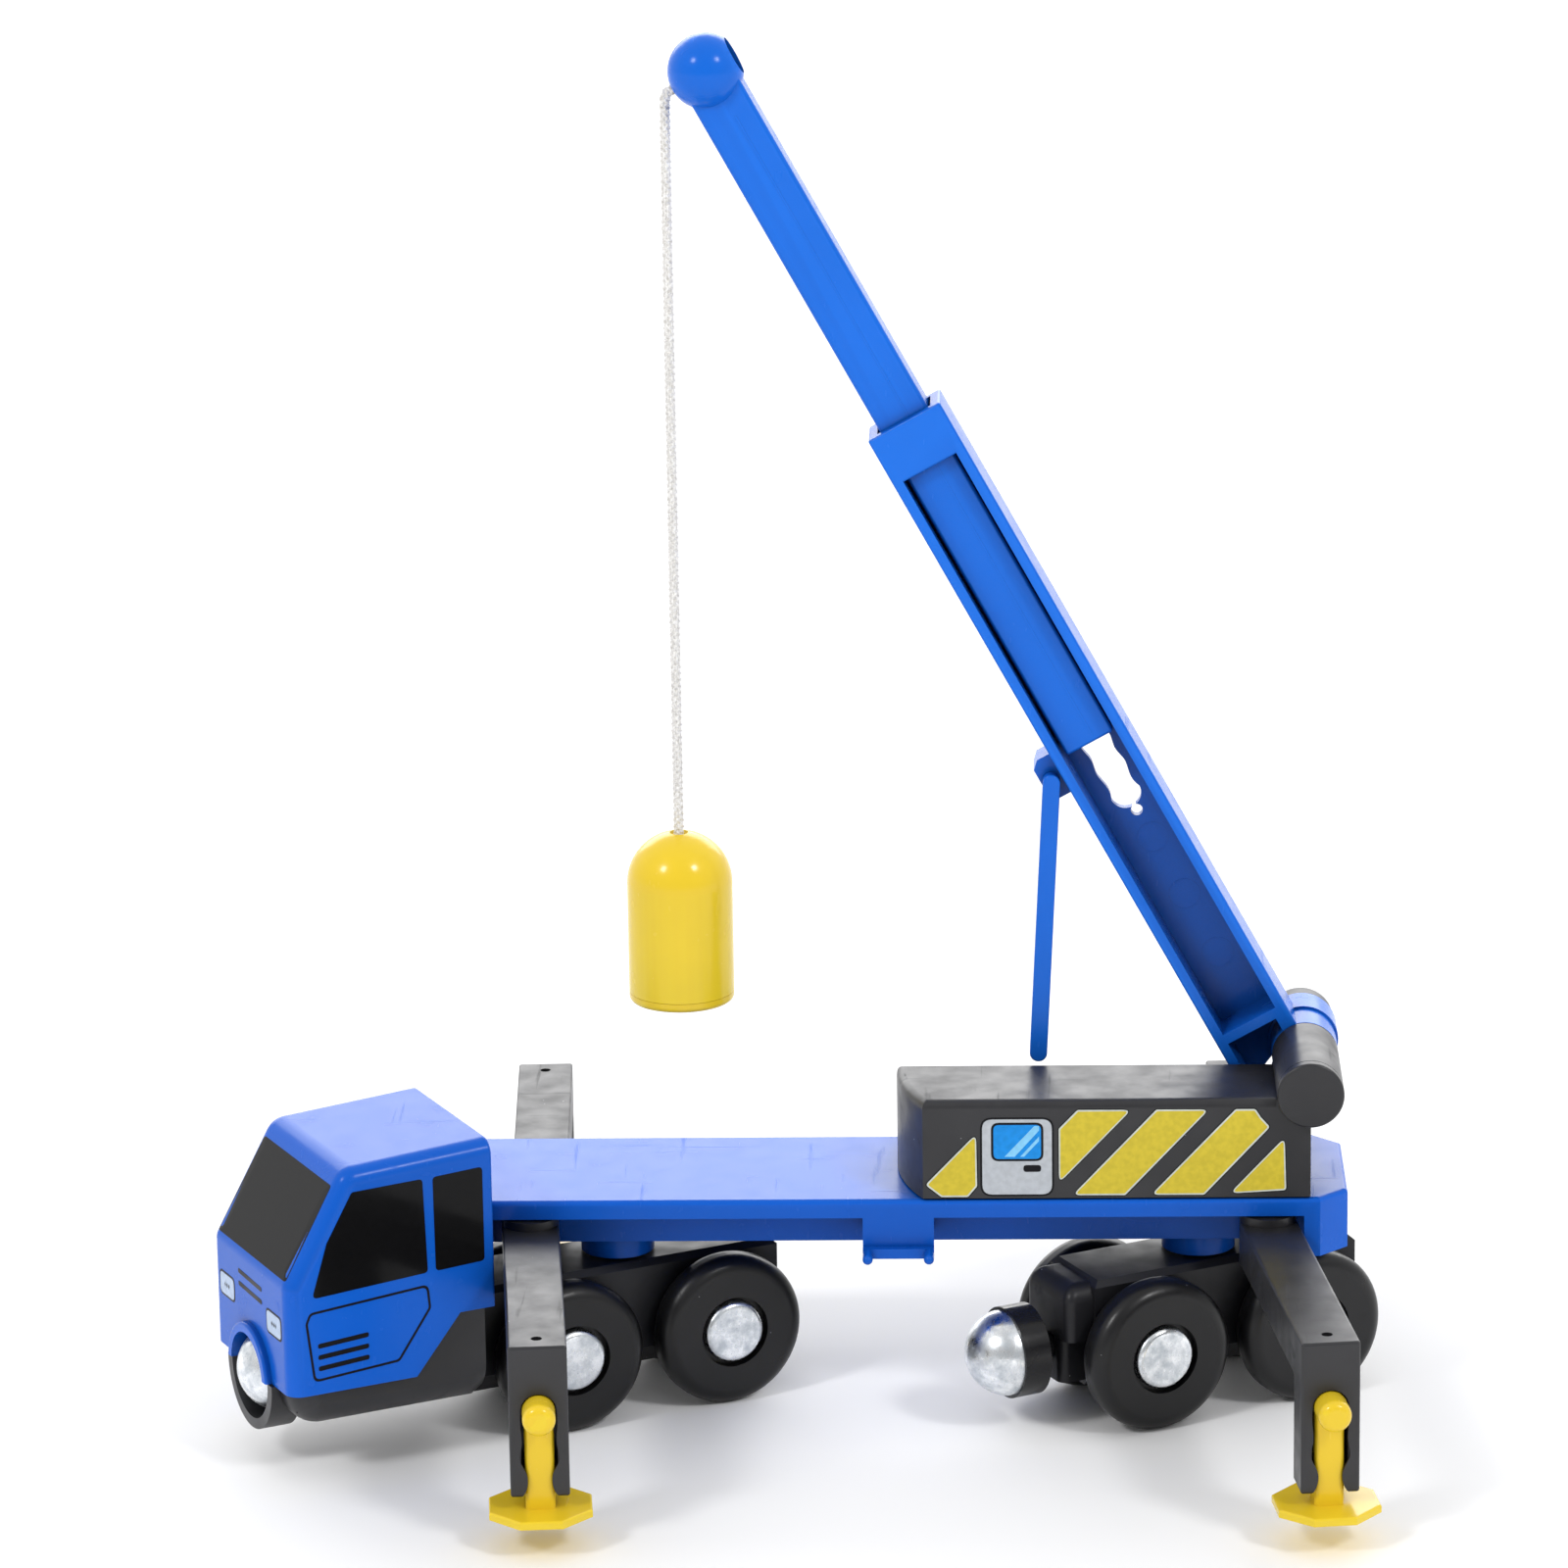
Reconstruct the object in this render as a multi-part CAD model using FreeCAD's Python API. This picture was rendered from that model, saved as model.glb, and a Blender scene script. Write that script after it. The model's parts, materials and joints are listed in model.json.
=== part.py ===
import FreeCAD, Part
import math
import os

# Toy crane truck for a wooden railway, in millimetres.
# Origin: under the middle of the flat bed, on the plane the wheels stand on.
# +Z is up, -X is the cab end, -Y is the side with the tall crane housing.

V = FreeCAD.Vector
X, Y, Z = V(1, 0, 0), V(0, 1, 0), V(0, 0, 1)

# Flat bed
BED_HALF_WIDTH = 12.8
BED_TOP = 30.7
BED_THICK = 2.4
BED_REAR = 57.4
BED_FRONT_RADIUS = 22.5
BED_CHAMFER = 3.65
BED_EDGE = 0.6
SKIRT_BOTTOM = 22.9
SPINE_HALF_WIDTH = 6.0
WALL = 1.6
TAB_HALF_LENGTH = 4.55
TAB_BOTTOM = 24.5
TAB_LEDGE = 1.2
TAB_NUB_REACH = 3.3
TAB_NUB_RADIUS = 0.65

# Bogies
FRONT_PIVOT_X = -36.6
REAR_PIVOT_X = 38.6
FRONT_YAW = 27.5
REAR_YAW = 28.0
BOGIE_HALF_WIDTH = 6.0
BOGIE_HALF_LENGTH = 18.5
BOGIE_TOP = 19.8
BOGIE_TOP_BEVEL = 0.8
BOGIE_KEEL_BEVEL = 3.0
BOGIE_SEAM = 12.0
BOGIE_BOTTOM = 5.0
BOSS_RADIUS = 4.75
BOSS_GAP = 0.3
PIVOT_RADIUS = 2.0
RUNNING_GAP = 0.05
SCREW_RADIUS = 1.0
SCREW_HEAD_RADIUS = 3.2
TAPPED_DEPTH = 7.0

# Wheels and axles
WHEEL_RADIUS = 10.0
WHEEL_INNER = 6.4
WHEEL_OUTER = 11.4
WHEEL_ROUND = 2.0
AXLE_RADIUS = 1.5
AXLE_SPACING = 22.5
CAP_RADIUS = 4.1
CAP_HEIGHT = 1.3
CAP_ROUND = 0.85
HUB_RECESS_RADIUS = 4.7
HUB_RECESS_DEPTH = 1.2

# Coupling magnets
MAGNET_HEIGHT = 10.2
DOME_RADIUS = 5.6
DOME_HEIGHT = 5.1
HOLDER_RADIUS = 5.95
HOLDER_FRONT = 28.5
HOLDER_BACK = 23.9
NECK_RADIUS = 1.8
NOSE_HALF_WIDTH = 5.6
NOSE_FRONT = 22.3
NOSE_TOP = 19.4
NOSE_FLANGE_X = 19.6
FLANGE_ROOM = 3.2
FLANGE_RUN = 1.8
NECK_FLANGE_RADIUS = 2.9
NECK_FLANGE_THICK = 1.4
FRONT_DOME_X = 47.9
FRONT_DOME_Z = 12.0

# Cab, in the front bogie's own frame (x runs backwards from the nose)
CAB_HALF_WIDTH = 12.8
CAB_FRONT = 51.2
CAB_REAR = 22.9
CAB_BOTTOM = 12.4
CAB_SIDE = [(-CAB_FRONT, CAB_BOTTOM), (-CAB_FRONT, 26.9), (-42.9, 41.2), (-CAB_REAR, 42.2),
            (-CAB_REAR, 20.0), (-27.8, 20.0), (-34.0, CAB_BOTTOM)]
CAB_WALL = 1.5
CAB_HOLLOW = [(-49.7, 10.0), (-49.7, 26.5), (-42.0, 39.7), (-24.4, 40.6), (-24.4, 10.0)]
CAB_BROW_ROUND = 3.0
CAB_SILL_ROUND = 2.0
CAB_EDGE = 2.0
CAB_REAR_EDGE = 0.4
ARCH_RADIUS = 6.5
ARCH_WALL = 1.3
SEAT_RADIUS = 7.4
ARCH_PROUD = 0.9
BASE_TOP = 12.3
BASE_BOTTOM = 7.3
BASE_FRONT = 50.4
BASE_REAR = 24.1
BASE_SIDE = [(-BASE_FRONT, BASE_TOP), (-33.95, BASE_TOP), (-27.85, 19.8), (-BASE_REAR, 19.8),
             (-BASE_REAR, 8.2), (-25.3, BASE_BOTTOM), (-BASE_FRONT, BASE_BOTTOM)]
BASE_HALF_WIDTH = 11.9
BASE_CHIN = 4.4
BASE_KEEL = 3.5
BASE_WALL = 2.4

# Outriggers
ARM_PIVOT_X = 47.2
ARM_PIVOT_Y = 10.0
ARM_LENGTH = 45.5
ARM_WIDTH = 7.3
ARM_TOP = 26.9
ARM_BOTTOM = 21.0
ARM_WALL = 1.5
ARM_SCREW_SEAT = 1.3
ARM_SCREW_RADIUS = 2.6
LEG_THICK = 5.5
LEG_BOTTOM = 7.3
ARM_COLLAR_TOP = 28.0
SLOT_HALF = 2.25
SLOT_DEPTH = 4.0
SLOT_LIP = 0.4
SLOT_EDGE = [(2.25, 18.5), (2.25, 16.2), (2.17, 14.0), (2.42, 12.2), (1.6, 10.2), (1.55, 8.8), (2.3, 7.3)]
STEM_WIDTH = 3.7
GRIP_RADIUS = 2.05
GRIP_HEIGHT = 18.5
GRIP_PROUD = 3.9
GRIP_ROUND = 1.1
PAD_RADIUS = 6.9
PAD_BOTTOM = 4.5
PAD_THICK = 1.0
PAD_INSET = 2.6
ARM_LEANS = {"near_front": 4.5, "near_rear": 7.5, "far_front": 2.4, "far_rear": 2.9}

# Crane housing on the turntable
TURN_X = 31.0
HOUSING_RADIUS = 31.2
HOUSING_MIDLINE = 1.35
HOUSING_NEAR = -12.8
HOUSING_FAR = 14.6
HOUSING_REAR = 52.5
HOUSING_LIFT = 0.2
BASE_THICK = 3.0
TOWER_FAR = 2.6
TOWER_TOP = 43.9
TOWER_EDGE = 1.1
POST_RADIUS = 1.9

# Boom hinge and boom, set out along the boom from the hinge axis
HINGE_X = 52.4
HINGE_Z = 44.86
HINGE_RADIUS = 4.27
HINGE_PIN_RADIUS = 2.2
DISC_NEAR = -14.4
DISC_FAR = 18.0
KNUCKLE_FAR = 14.5
KNUCKLE_STEP = 8.8
BOOM_ANGLE = 61.2
BOOM_NEAR = 2.9
BOOM_FAR = 10.9
BOOM_LOW = -9.35
BOOM_HIGH = 1.0
FLANGE = 1.35
END_WALL = 6.0
BOOM_LENGTH = 98.0
COLLAR_LENGTH = 6.8
STRAP_THICK = 1.3
DETENT_FROM = 40.2
DETENT_COUNT = 12
DETENT_PITCH = 3.95
DETENT_MIDDLE = -4.08
DETENT_WAIST = 1.72
DETENT_BULGE = 2.03
DETENT_TIP = 37.5
DETENT_TIP_RADIUS = 0.75
BOOM_FOOT = -2.6
LUG_FROM = 44.8
LUG_TO = 50.6
LUG_DEPTH = 3.0
STRUT_AT = 47.5
STRUT_OFFSET = -10.95
STRUT_WIDTH = 2.25
STRUT_LENGTH = 36.2
STRUT_LEAN = 2.9
STRUT_NEAR = 3.0
STRUT_FAR = 5.0
STRUT_PIN_RADIUS = 0.8
STRUT_BORE_FROM = 3.7

# Telescopic extension with its ball head
EXT_FROM = 49.4
EXT_LOW = -7.62
EXT_HIGH = -0.72
EXT_NEAR = 4.35
EXT_FAR = 9.35
BALL_AT = 148.4
BALL_RADIUS = 4.8
PEG_AT = 80.5
PEG_RADIUS = 1.2
CORD_HOLE_RADIUS = 1.0
KNOT_BORE_RADIUS = 2.5
KNOT_BORE_DEPTH = 3.4
KNOT_RADIUS = 1.8

# Cord and hanging load
CORD_RADIUS = 0.65
CORD_BEND = 1.6
CORD_RUN = 96.6
LOAD_RADIUS = 6.8
LOAD_HEIGHT = 22.5
LOAD_WALL = 1.5
LOAD_CAP = 1.3
LOAD_DIMPLE = 1.3
LOAD_MAGNET_RADIUS = 4.4


def box(x0, x1, y0, y1, z0, z1):
    return Part.makeBox(x1 - x0, y1 - y0, z1 - z0, V(x0, y0, z0))


def rod(radius, start, direction, length):
    return Part.makeCylinder(radius, length, start, direction)


def prism(points, z0, z1):
    """Upright prism over a plan outline."""
    wire = Part.makePolygon([V(x, y, z0) for x, y in points + points[:1]])
    return Part.Face(wire).extrude(V(0, 0, z1 - z0))


def side_prism(points, y0, y1):
    """Prism over an outline drawn in X and Z."""
    wire = Part.makePolygon([V(x, y0, z) for x, z in points + points[:1]])
    return Part.Face(wire).extrude(V(0, y1 - y0, 0))


def joined(shapes):
    first, *rest = shapes
    return first.fuse(rest).removeSplitter() if rest else first


def softened(shape, radius, wanted):
    """Round the edges that the test picks out."""
    edges = [edge for edge in shape.Edges if wanted(edge)]
    return shape.makeFillet(radius, edges)


def runs_along(edge, axis):
    first, last = edge.Vertexes[0].Point, edge.Vertexes[-1].Point
    return (last - first).Length > 0 and abs(abs((last - first).normalize().dot(axis)) - 1) < 1e-6


def smooth_curve(points):
    curve = Part.BSplineCurve()
    curve.interpolate(points)
    return curve.toShape()


def at_height(edge, z):
    return all(abs(vertex.Z - z) < 1e-6 for vertex in edge.Vertexes)


def placed(shape, yaw, x):
    """Set a bogie piece at its pivot, turned about the vertical."""
    moved = shape.copy()
    moved.rotate(V(0, 0, 0), Z, yaw)
    moved.translate(V(x, 0, 0))
    return moved


def mirrored(shape):
    return shape.mirror(V(0, 0, 0), Y)


# ---------------------------------------------------------------- flat bed

def bed_outline(half_width, radius, rear):
    """Plan of the bed: round front about the bogie pivot, chamfered rear corners."""
    front_x = FRONT_PIVOT_X - math.sqrt(radius ** 2 - half_width ** 2)
    cut = BED_CHAMFER - (BED_REAR - rear)
    corners = [V(front_x, -half_width, 0), V(rear - cut, -half_width, 0), V(rear, -half_width + cut, 0),
               V(rear, half_width - cut, 0), V(rear - cut, half_width, 0), V(front_x, half_width, 0)]
    nose = Part.Arc(corners[-1], V(FRONT_PIVOT_X - radius, 0, 0), corners[0]).toShape()
    return Part.Face(Part.Wire([Part.makeLine(a, b) for a, b in zip(corners, corners[1:])] + [nose]))


def slab(face, z0, z1):
    moved = face.copy()
    moved.translate(V(0, 0, z0))
    return moved.extrude(V(0, 0, z1 - z0))


def side_tab():
    """Stop between the folded outriggers, with a ledge and two nubs below it."""
    block = box(-TAB_HALF_LENGTH, TAB_HALF_LENGTH, -BED_HALF_WIDTH, -SPINE_HALF_WIDTH + 0.5,
                TAB_BOTTOM, BED_TOP - BED_THICK)
    ledge = box(-TAB_HALF_LENGTH, TAB_HALF_LENGTH, -BED_HALF_WIDTH - TAB_LEDGE, -BED_HALF_WIDTH + WALL,
                TAB_BOTTOM - 2 * TAB_NUB_RADIUS, TAB_BOTTOM)
    solids = [block, ledge]
    height = TAB_BOTTOM - TAB_NUB_RADIUS
    for side in (-1, 1):
        foot = V(side * (TAB_HALF_LENGTH - TAB_NUB_RADIUS), -BED_HALF_WIDTH, height)
        solids.append(rod(TAB_NUB_RADIUS, foot, -Y, TAB_NUB_REACH))
        solids.append(Part.makeSphere(TAB_NUB_RADIUS, foot - Y * TAB_NUB_REACH))
    return joined(solids)


def arm_pivot(arm):
    side_x = 1 if arm.endswith("rear") else -1
    side_y = 1 if arm.startswith("far") else -1
    return V(side_x * ARM_PIVOT_X, side_y * ARM_PIVOT_Y, 0)


def deck_bed():
    underside = BED_TOP - BED_THICK
    plate = slab(bed_outline(BED_HALF_WIDTH, BED_FRONT_RADIUS, BED_REAR), underside, BED_TOP)
    plate = softened(plate, BED_EDGE, lambda edge: at_height(edge, BED_TOP))
    spine_front = FRONT_PIVOT_X - BED_FRONT_RADIUS + 2.0
    spine = box(spine_front, BED_REAR - WALL, -SPINE_HALF_WIDTH, SPINE_HALF_WIDTH, SKIRT_BOTTOM, underside)
    hollow = box(spine_front + WALL, BED_REAR - WALL, -SPINE_HALF_WIDTH + WALL, SPINE_HALF_WIDTH - WALL,
                 SKIRT_BOTTOM, underside)
    skirt = slab(bed_outline(BED_HALF_WIDTH, BED_FRONT_RADIUS, BED_REAR), SKIRT_BOTTOM, underside)
    skirt = skirt.cut(slab(bed_outline(BED_HALF_WIDTH - WALL, BED_FRONT_RADIUS - WALL, BED_REAR - WALL),
                           SKIRT_BOTTOM, underside))
    rear_skirt = skirt.common(box(ARM_PIVOT_X + 4.5, BED_REAR, -BED_HALF_WIDTH, BED_HALF_WIDTH,
                                  SKIRT_BOTTOM, underside))
    solids = [plate, spine.cut(hollow), rear_skirt, side_tab(), mirrored(side_tab())]
    for pivot_x in (FRONT_PIVOT_X, REAR_PIVOT_X):
        foot = BOGIE_TOP + BOSS_GAP
        solids.append(rod(BOSS_RADIUS, V(pivot_x, 0, foot), Z, underside - foot))
        solids.append(rod(PIVOT_RADIUS, V(pivot_x, 0, BOGIE_TOP - WALL - BOSS_GAP), Z, 3.0))
    for arm in ARM_LEANS:
        pivot = arm_pivot(arm)
        solids.append(rod(PIVOT_RADIUS, pivot + Z * (ARM_BOTTOM + ARM_SCREW_SEAT), Z,
                          underside - ARM_BOTTOM - ARM_SCREW_SEAT))
    solids.append(rod(POST_RADIUS + 1.8, V(TURN_X, 0, underside - 1.2), Z, 1.2))
    bed = joined(solids)
    drills = [rod(POST_RADIUS + RUNNING_GAP, V(TURN_X, 0, underside - 2), Z, BED_THICK + 4)]
    drills += [rod(SCREW_RADIUS, V(x, 0, BOGIE_TOP - 3), Z, 9.5) for x in (FRONT_PIVOT_X, REAR_PIVOT_X)]
    drills += [rod(SCREW_RADIUS, arm_pivot(arm) + Z * ARM_BOTTOM, Z, TAPPED_DEPTH) for arm in ARM_LEANS]
    return bed.cut(drills)


def screw(point, head_radius, head, length):
    """Pan screw driven upwards: head below, shank above."""
    crown = softened(rod(head_radius, point - Z * head, Z, head), 0.4, lambda e: at_height(e, point.z - head))
    cross = box(-head_radius * 0.6, head_radius * 0.6, -0.3, 0.3, 0, head * 0.5)
    slots = [cross, cross.copy()]
    slots[1].rotate(V(0, 0, 0), Z, 90)
    for slot in slots:
        slot.translate(point - Z * head)
    return joined([crown, rod(SCREW_RADIUS, point, Z, length)]).cut(slots)


def bogie_pivot_screws():
    height = BOGIE_TOP - WALL - BOSS_GAP
    return [screw(V(x, 0, height), SCREW_HEAD_RADIUS, 1.4, 8.0) for x in (FRONT_PIVOT_X, REAR_PIVOT_X)]


def arm_pivot_screws():
    height = ARM_BOTTOM + ARM_SCREW_SEAT
    return [screw(arm_pivot(arm) + Z * height, ARM_SCREW_RADIUS, ARM_SCREW_SEAT, 5.0) for arm in ARM_LEANS]


# ---------------------------------------------------------------- bogies

def axle_positions():
    return (-AXLE_SPACING / 2, AXLE_SPACING / 2)


def casing_hollow(x0, x1, z0, z1):
    return box(x0 + WALL, x1 - WALL, -BOGIE_HALF_WIDTH + WALL, BOGIE_HALF_WIDTH - WALL, z0, z1)


def upper_shell(x0, x1):
    """Upper half casing, bevelled round its top and open at the seam."""
    body = box(x0, x1, -BOGIE_HALF_WIDTH, BOGIE_HALF_WIDTH, BOGIE_SEAM, BOGIE_TOP)
    rim = [edge for edge in body.Edges if at_height(edge, BOGIE_TOP)]
    return body.makeChamfer(BOGIE_TOP_BEVEL, rim).cut(casing_hollow(x0, x1, BOGIE_SEAM, BOGIE_TOP - WALL))


def lower_shell(x0, x1):
    """Lower half casing with its two long bottom edges bevelled inside and out."""
    body = box(x0, x1, -BOGIE_HALF_WIDTH, BOGIE_HALF_WIDTH, BOGIE_BOTTOM, BOGIE_SEAM)
    hollow = casing_hollow(x0, x1, BOGIE_BOTTOM + WALL, BOGIE_SEAM)
    long_edges = [[edge for edge in solid.Edges if runs_along(edge, X) and at_height(edge, z)]
                  for solid, z in ((body, BOGIE_BOTTOM), (hollow, BOGIE_BOTTOM + WALL))]
    body = body.makeChamfer(BOGIE_KEEL_BEVEL, long_edges[0])
    return body.cut(hollow.makeChamfer(BOGIE_KEEL_BEVEL - WALL / 2, long_edges[1]))


def nose(z0, z1, half_width):
    """Blunt end of the rear casing that carries the coupling magnet's neck."""
    block = box(-NOSE_FRONT, -BOGIE_HALF_LENGTH + WALL, -half_width, half_width, z0, z1)
    return softened(block, 1.2, lambda edge: runs_along(edge, Z) and edge.BoundBox.XMax < -BOGIE_HALF_LENGTH)


def neck_space():
    """Room for the magnet's neck and its inner flange, open upwards at the seam."""
    gap = RUNNING_GAP
    run = HOLDER_BACK - BOGIE_HALF_LENGTH + WALL
    start = V(-HOLDER_BACK, 0, MAGNET_HEIGHT)
    neck = joined([rod(NECK_RADIUS + gap, start, X, run),
                   box(-HOLDER_BACK, -HOLDER_BACK + run, -NECK_RADIUS - gap, NECK_RADIUS + gap,
                       MAGNET_HEIGHT, BOGIE_SEAM)])
    flange_from = -NOSE_FLANGE_X
    flange = joined([rod(FLANGE_ROOM, V(flange_from, 0, MAGNET_HEIGHT), X, FLANGE_RUN),
                     box(flange_from, flange_from + FLANGE_RUN, -FLANGE_ROOM, FLANGE_ROOM,
                         MAGNET_HEIGHT, BOGIE_SEAM)])
    return [neck, flange]


def axle_slots(z0):
    slots = []
    half = AXLE_RADIUS + RUNNING_GAP
    for x in axle_positions():
        slots.append(rod(half, V(x, -BOGIE_HALF_WIDTH - 1, WHEEL_RADIUS), Y, 2 * BOGIE_HALF_WIDTH + 2))
        slots.append(box(x - half, x + half, -BOGIE_HALF_WIDTH - 1, BOGIE_HALF_WIDTH + 1, WHEEL_RADIUS, z0))
    return slots


def axle_keepers():
    """Ribs of the upper casing that close the axle slots."""
    width = 2 * AXLE_RADIUS - 0.2
    return [box(x - width / 2, x + width / 2, -BOGIE_HALF_WIDTH + WALL, BOGIE_HALF_WIDTH - WALL,
                WHEEL_RADIUS + AXLE_RADIUS + 0.1, BOGIE_TOP - WALL) for x in axle_positions()]


def bogie_upper(front):
    body = upper_shell(-CAB_REAR - 1.0 if front else -BOGIE_HALF_LENGTH, BOGIE_HALF_LENGTH + 1.5)
    collar = rod(SCREW_HEAD_RADIUS + 1.4, V(0, 0, BOGIE_TOP - 5.5), Z, 5.5 - WALL / 2)
    collar = collar.cut(rod(SCREW_HEAD_RADIUS + 0.3, V(0, 0, BOGIE_TOP - 5.5), Z, 5.5 - WALL))
    solids = [body, collar] + axle_keepers()
    cuts = [rod(PIVOT_RADIUS + RUNNING_GAP, V(0, 0, BOGIE_TOP - WALL - 1), Z, WALL + 2)]
    if not front:
        solids.append(softened(nose(BOGIE_SEAM, NOSE_TOP, NOSE_HALF_WIDTH), 2.2,
                               lambda edge: at_height(edge, NOSE_TOP) and edge.BoundBox.XMax < -BOGIE_HALF_LENGTH))
        cuts += neck_space()
    return joined(solids).cut(cuts)


def bogie_lower(front):
    solids = [lower_shell(-CAB_REAR - 1.0 if front else -BOGIE_HALF_LENGTH, BOGIE_HALF_LENGTH + 1.5)]
    cuts = axle_slots(BOGIE_SEAM)
    if not front:
        solids.append(nose(BOGIE_BOTTOM + 1.0, BOGIE_SEAM, NOSE_HALF_WIDTH - 1.8))
        cuts += neck_space()
    return joined(solids).cut(cuts)


def wheel(side):
    """Rounded wheel with a sunk hub, on one end of an axle."""
    w0, w1, r = WHEEL_INNER, WHEEL_OUTER, WHEEL_RADIUS
    body = softened(rod(r, V(0, w0, 0), Y, w1 - w0), WHEEL_ROUND, lambda edge: True)
    body = joined([body, rod(3.0, V(0, w0 - 0.2, 0), Y, 1.0)])
    body = body.cut([rod(HUB_RECESS_RADIUS, V(0, w1 - HUB_RECESS_DEPTH, 0), Y, HUB_RECESS_DEPTH + 1),
                     rod(AXLE_RADIUS + RUNNING_GAP, V(0, w0 - 1, 0), Y, w1 - w0 + 2)])
    return body if side > 0 else mirrored(body)


def axle():
    """Steel axle with a flat cap, rounded at its rim, pressed on each end."""
    reach = WHEEL_OUTER - HUB_RECESS_DEPTH + 0.2
    cap = softened(rod(CAP_RADIUS, V(0, reach, 0), Y, CAP_HEIGHT), CAP_ROUND,
                   lambda edge: edge.BoundBox.YMin > reach + 0.1)
    return joined([rod(AXLE_RADIUS, V(0, -reach - 0.5, 0), Y, 2 * reach + 1), cap, mirrored(cap)])


def dome(x, z):
    """Steel cap facing -X: a ball's end."""
    ball = Part.makeSphere(DOME_RADIUS, V(DOME_RADIUS - DOME_HEIGHT - x, 0, z))
    return ball.common(box(-x - DOME_HEIGHT, -x, -DOME_RADIUS, DOME_RADIUS, z - DOME_RADIUS, z + DOME_RADIUS))


def magnet_holder():
    z = MAGNET_HEIGHT
    barrel = rod(HOLDER_RADIUS, V(-HOLDER_FRONT, 0, z), X, HOLDER_FRONT - HOLDER_BACK - 0.9)
    taper = Part.makeCone(HOLDER_RADIUS, 3.4, 0.9, V(-HOLDER_BACK - 0.9, 0, z), X)
    neck = rod(NECK_RADIUS, V(-HOLDER_BACK, 0, z), X, HOLDER_BACK - NOSE_FLANGE_X + 0.5)
    flange = rod(NECK_FLANGE_RADIUS, V(0.2 - NOSE_FLANGE_X, 0, z), X, NECK_FLANGE_THICK)
    pocket = rod(4.6, V(-HOLDER_FRONT, 0, z), X, 3.0)
    return joined([barrel, taper, neck, flange]).cut(pocket)


def magnet_core(x, z):
    return rod(4.5, V(-x, 0, z), X, 2.8)


# ---------------------------------------------------------------- cab

def crosswise_edge(x, z):
    """Test for the edge that runs across the cab through a point of its side outline."""
    def found(edge):
        return runs_along(edge, Y) and abs(edge.BoundBox.XMin - x) < 1e-3 and abs(edge.BoundBox.ZMin - z) < 1e-3
    return found


def along_cab_side(edge):
    """Side outline of the windscreen, nose and roof, without the rear and bottom edges."""
    spot = edge.BoundBox
    on_side = abs(abs(spot.Center.y) - CAB_HALF_WIDTH) < 1e-3 and spot.YLength < 1e-3
    return on_side and (spot.ZMin > 26 or spot.XMax < -CAB_FRONT + 1e-3) and spot.XMin < -CAB_REAR - 1


def cab_outside():
    body = side_prism(CAB_SIDE, -CAB_HALF_WIDTH, CAB_HALF_WIDTH)
    body = softened(body, CAB_BROW_ROUND, crosswise_edge(*CAB_SIDE[2]))
    body = softened(body, CAB_SILL_ROUND, crosswise_edge(*CAB_SIDE[1]))
    body = softened(body, CAB_EDGE, along_cab_side)
    return softened(body, CAB_REAR_EDGE, lambda e: e.BoundBox.XMin > -CAB_REAR - 1e-3 and e.BoundBox.ZMax > 39)


def cab_shell():
    hollow = side_prism(CAB_HOLLOW, -CAB_HALF_WIDTH + CAB_WALL, CAB_HALF_WIDTH - CAB_WALL)
    face = -CAB_FRONT - ARCH_PROUD
    arch = rod(ARCH_RADIUS, V(face, 0, FRONT_DOME_Z), X, 2 * ARCH_WALL)
    arch = arch.common(box(face, 0, -ARCH_RADIUS, ARCH_RADIUS, CAB_BOTTOM, CAB_SIDE[1][1]))
    arch = softened(arch, 0.4, lambda edge: edge.BoundBox.XMax < face + 0.01 and edge.BoundBox.ZLength > 1)
    opening = rod(ARCH_RADIUS - ARCH_WALL, V(face - 1, 0, FRONT_DOME_Z), X, 12.0)
    return joined([cab_outside(), arch]).cut([hollow, opening])


def keel_edge(edge):
    spot = edge.BoundBox
    on_side = spot.YLength < 1e-3 and abs(abs(spot.Center.y) - BASE_HALF_WIDTH) < 1e-3
    return on_side and spot.ZMax < BASE_TOP + 1e-3 and spot.ZMin < BASE_TOP - 0.1


def base_seat():
    """Collar of the base below the front dome."""
    ring = rod(SEAT_RADIUS, V(-CAB_FRONT - ARCH_PROUD / 2, 0, FRONT_DOME_Z), X, 4.0)
    return ring.common(box(-CAB_FRONT - 1, 0, -SEAT_RADIUS, SEAT_RADIUS, 0, BASE_TOP))


def cab_base():
    tub = side_prism(BASE_SIDE, -BASE_HALF_WIDTH, BASE_HALF_WIDTH)
    tub = softened(tub, BASE_CHIN, crosswise_edge(*BASE_SIDE[-1]))
    tub = softened(tub, BASE_KEEL, keel_edge)
    tower = box(-49.4, -43.4, -10, 10, BASE_BOTTOM + 2, 20)
    hollow = box(-42.4, -BASE_REAR - WALL, -BASE_HALF_WIDTH + BASE_WALL, BASE_HALF_WIDTH - BASE_WALL,
                 BASE_BOTTOM + 1.9, 25)
    seat = rod(DOME_RADIUS + 0.4, V(-60, 0, FRONT_DOME_Z), X, 60 - FRONT_DOME_X + 3.1)
    return joined([tub, tower, base_seat()]).cut([hollow, seat])


# ---------------------------------------------------------------- outriggers

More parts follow.
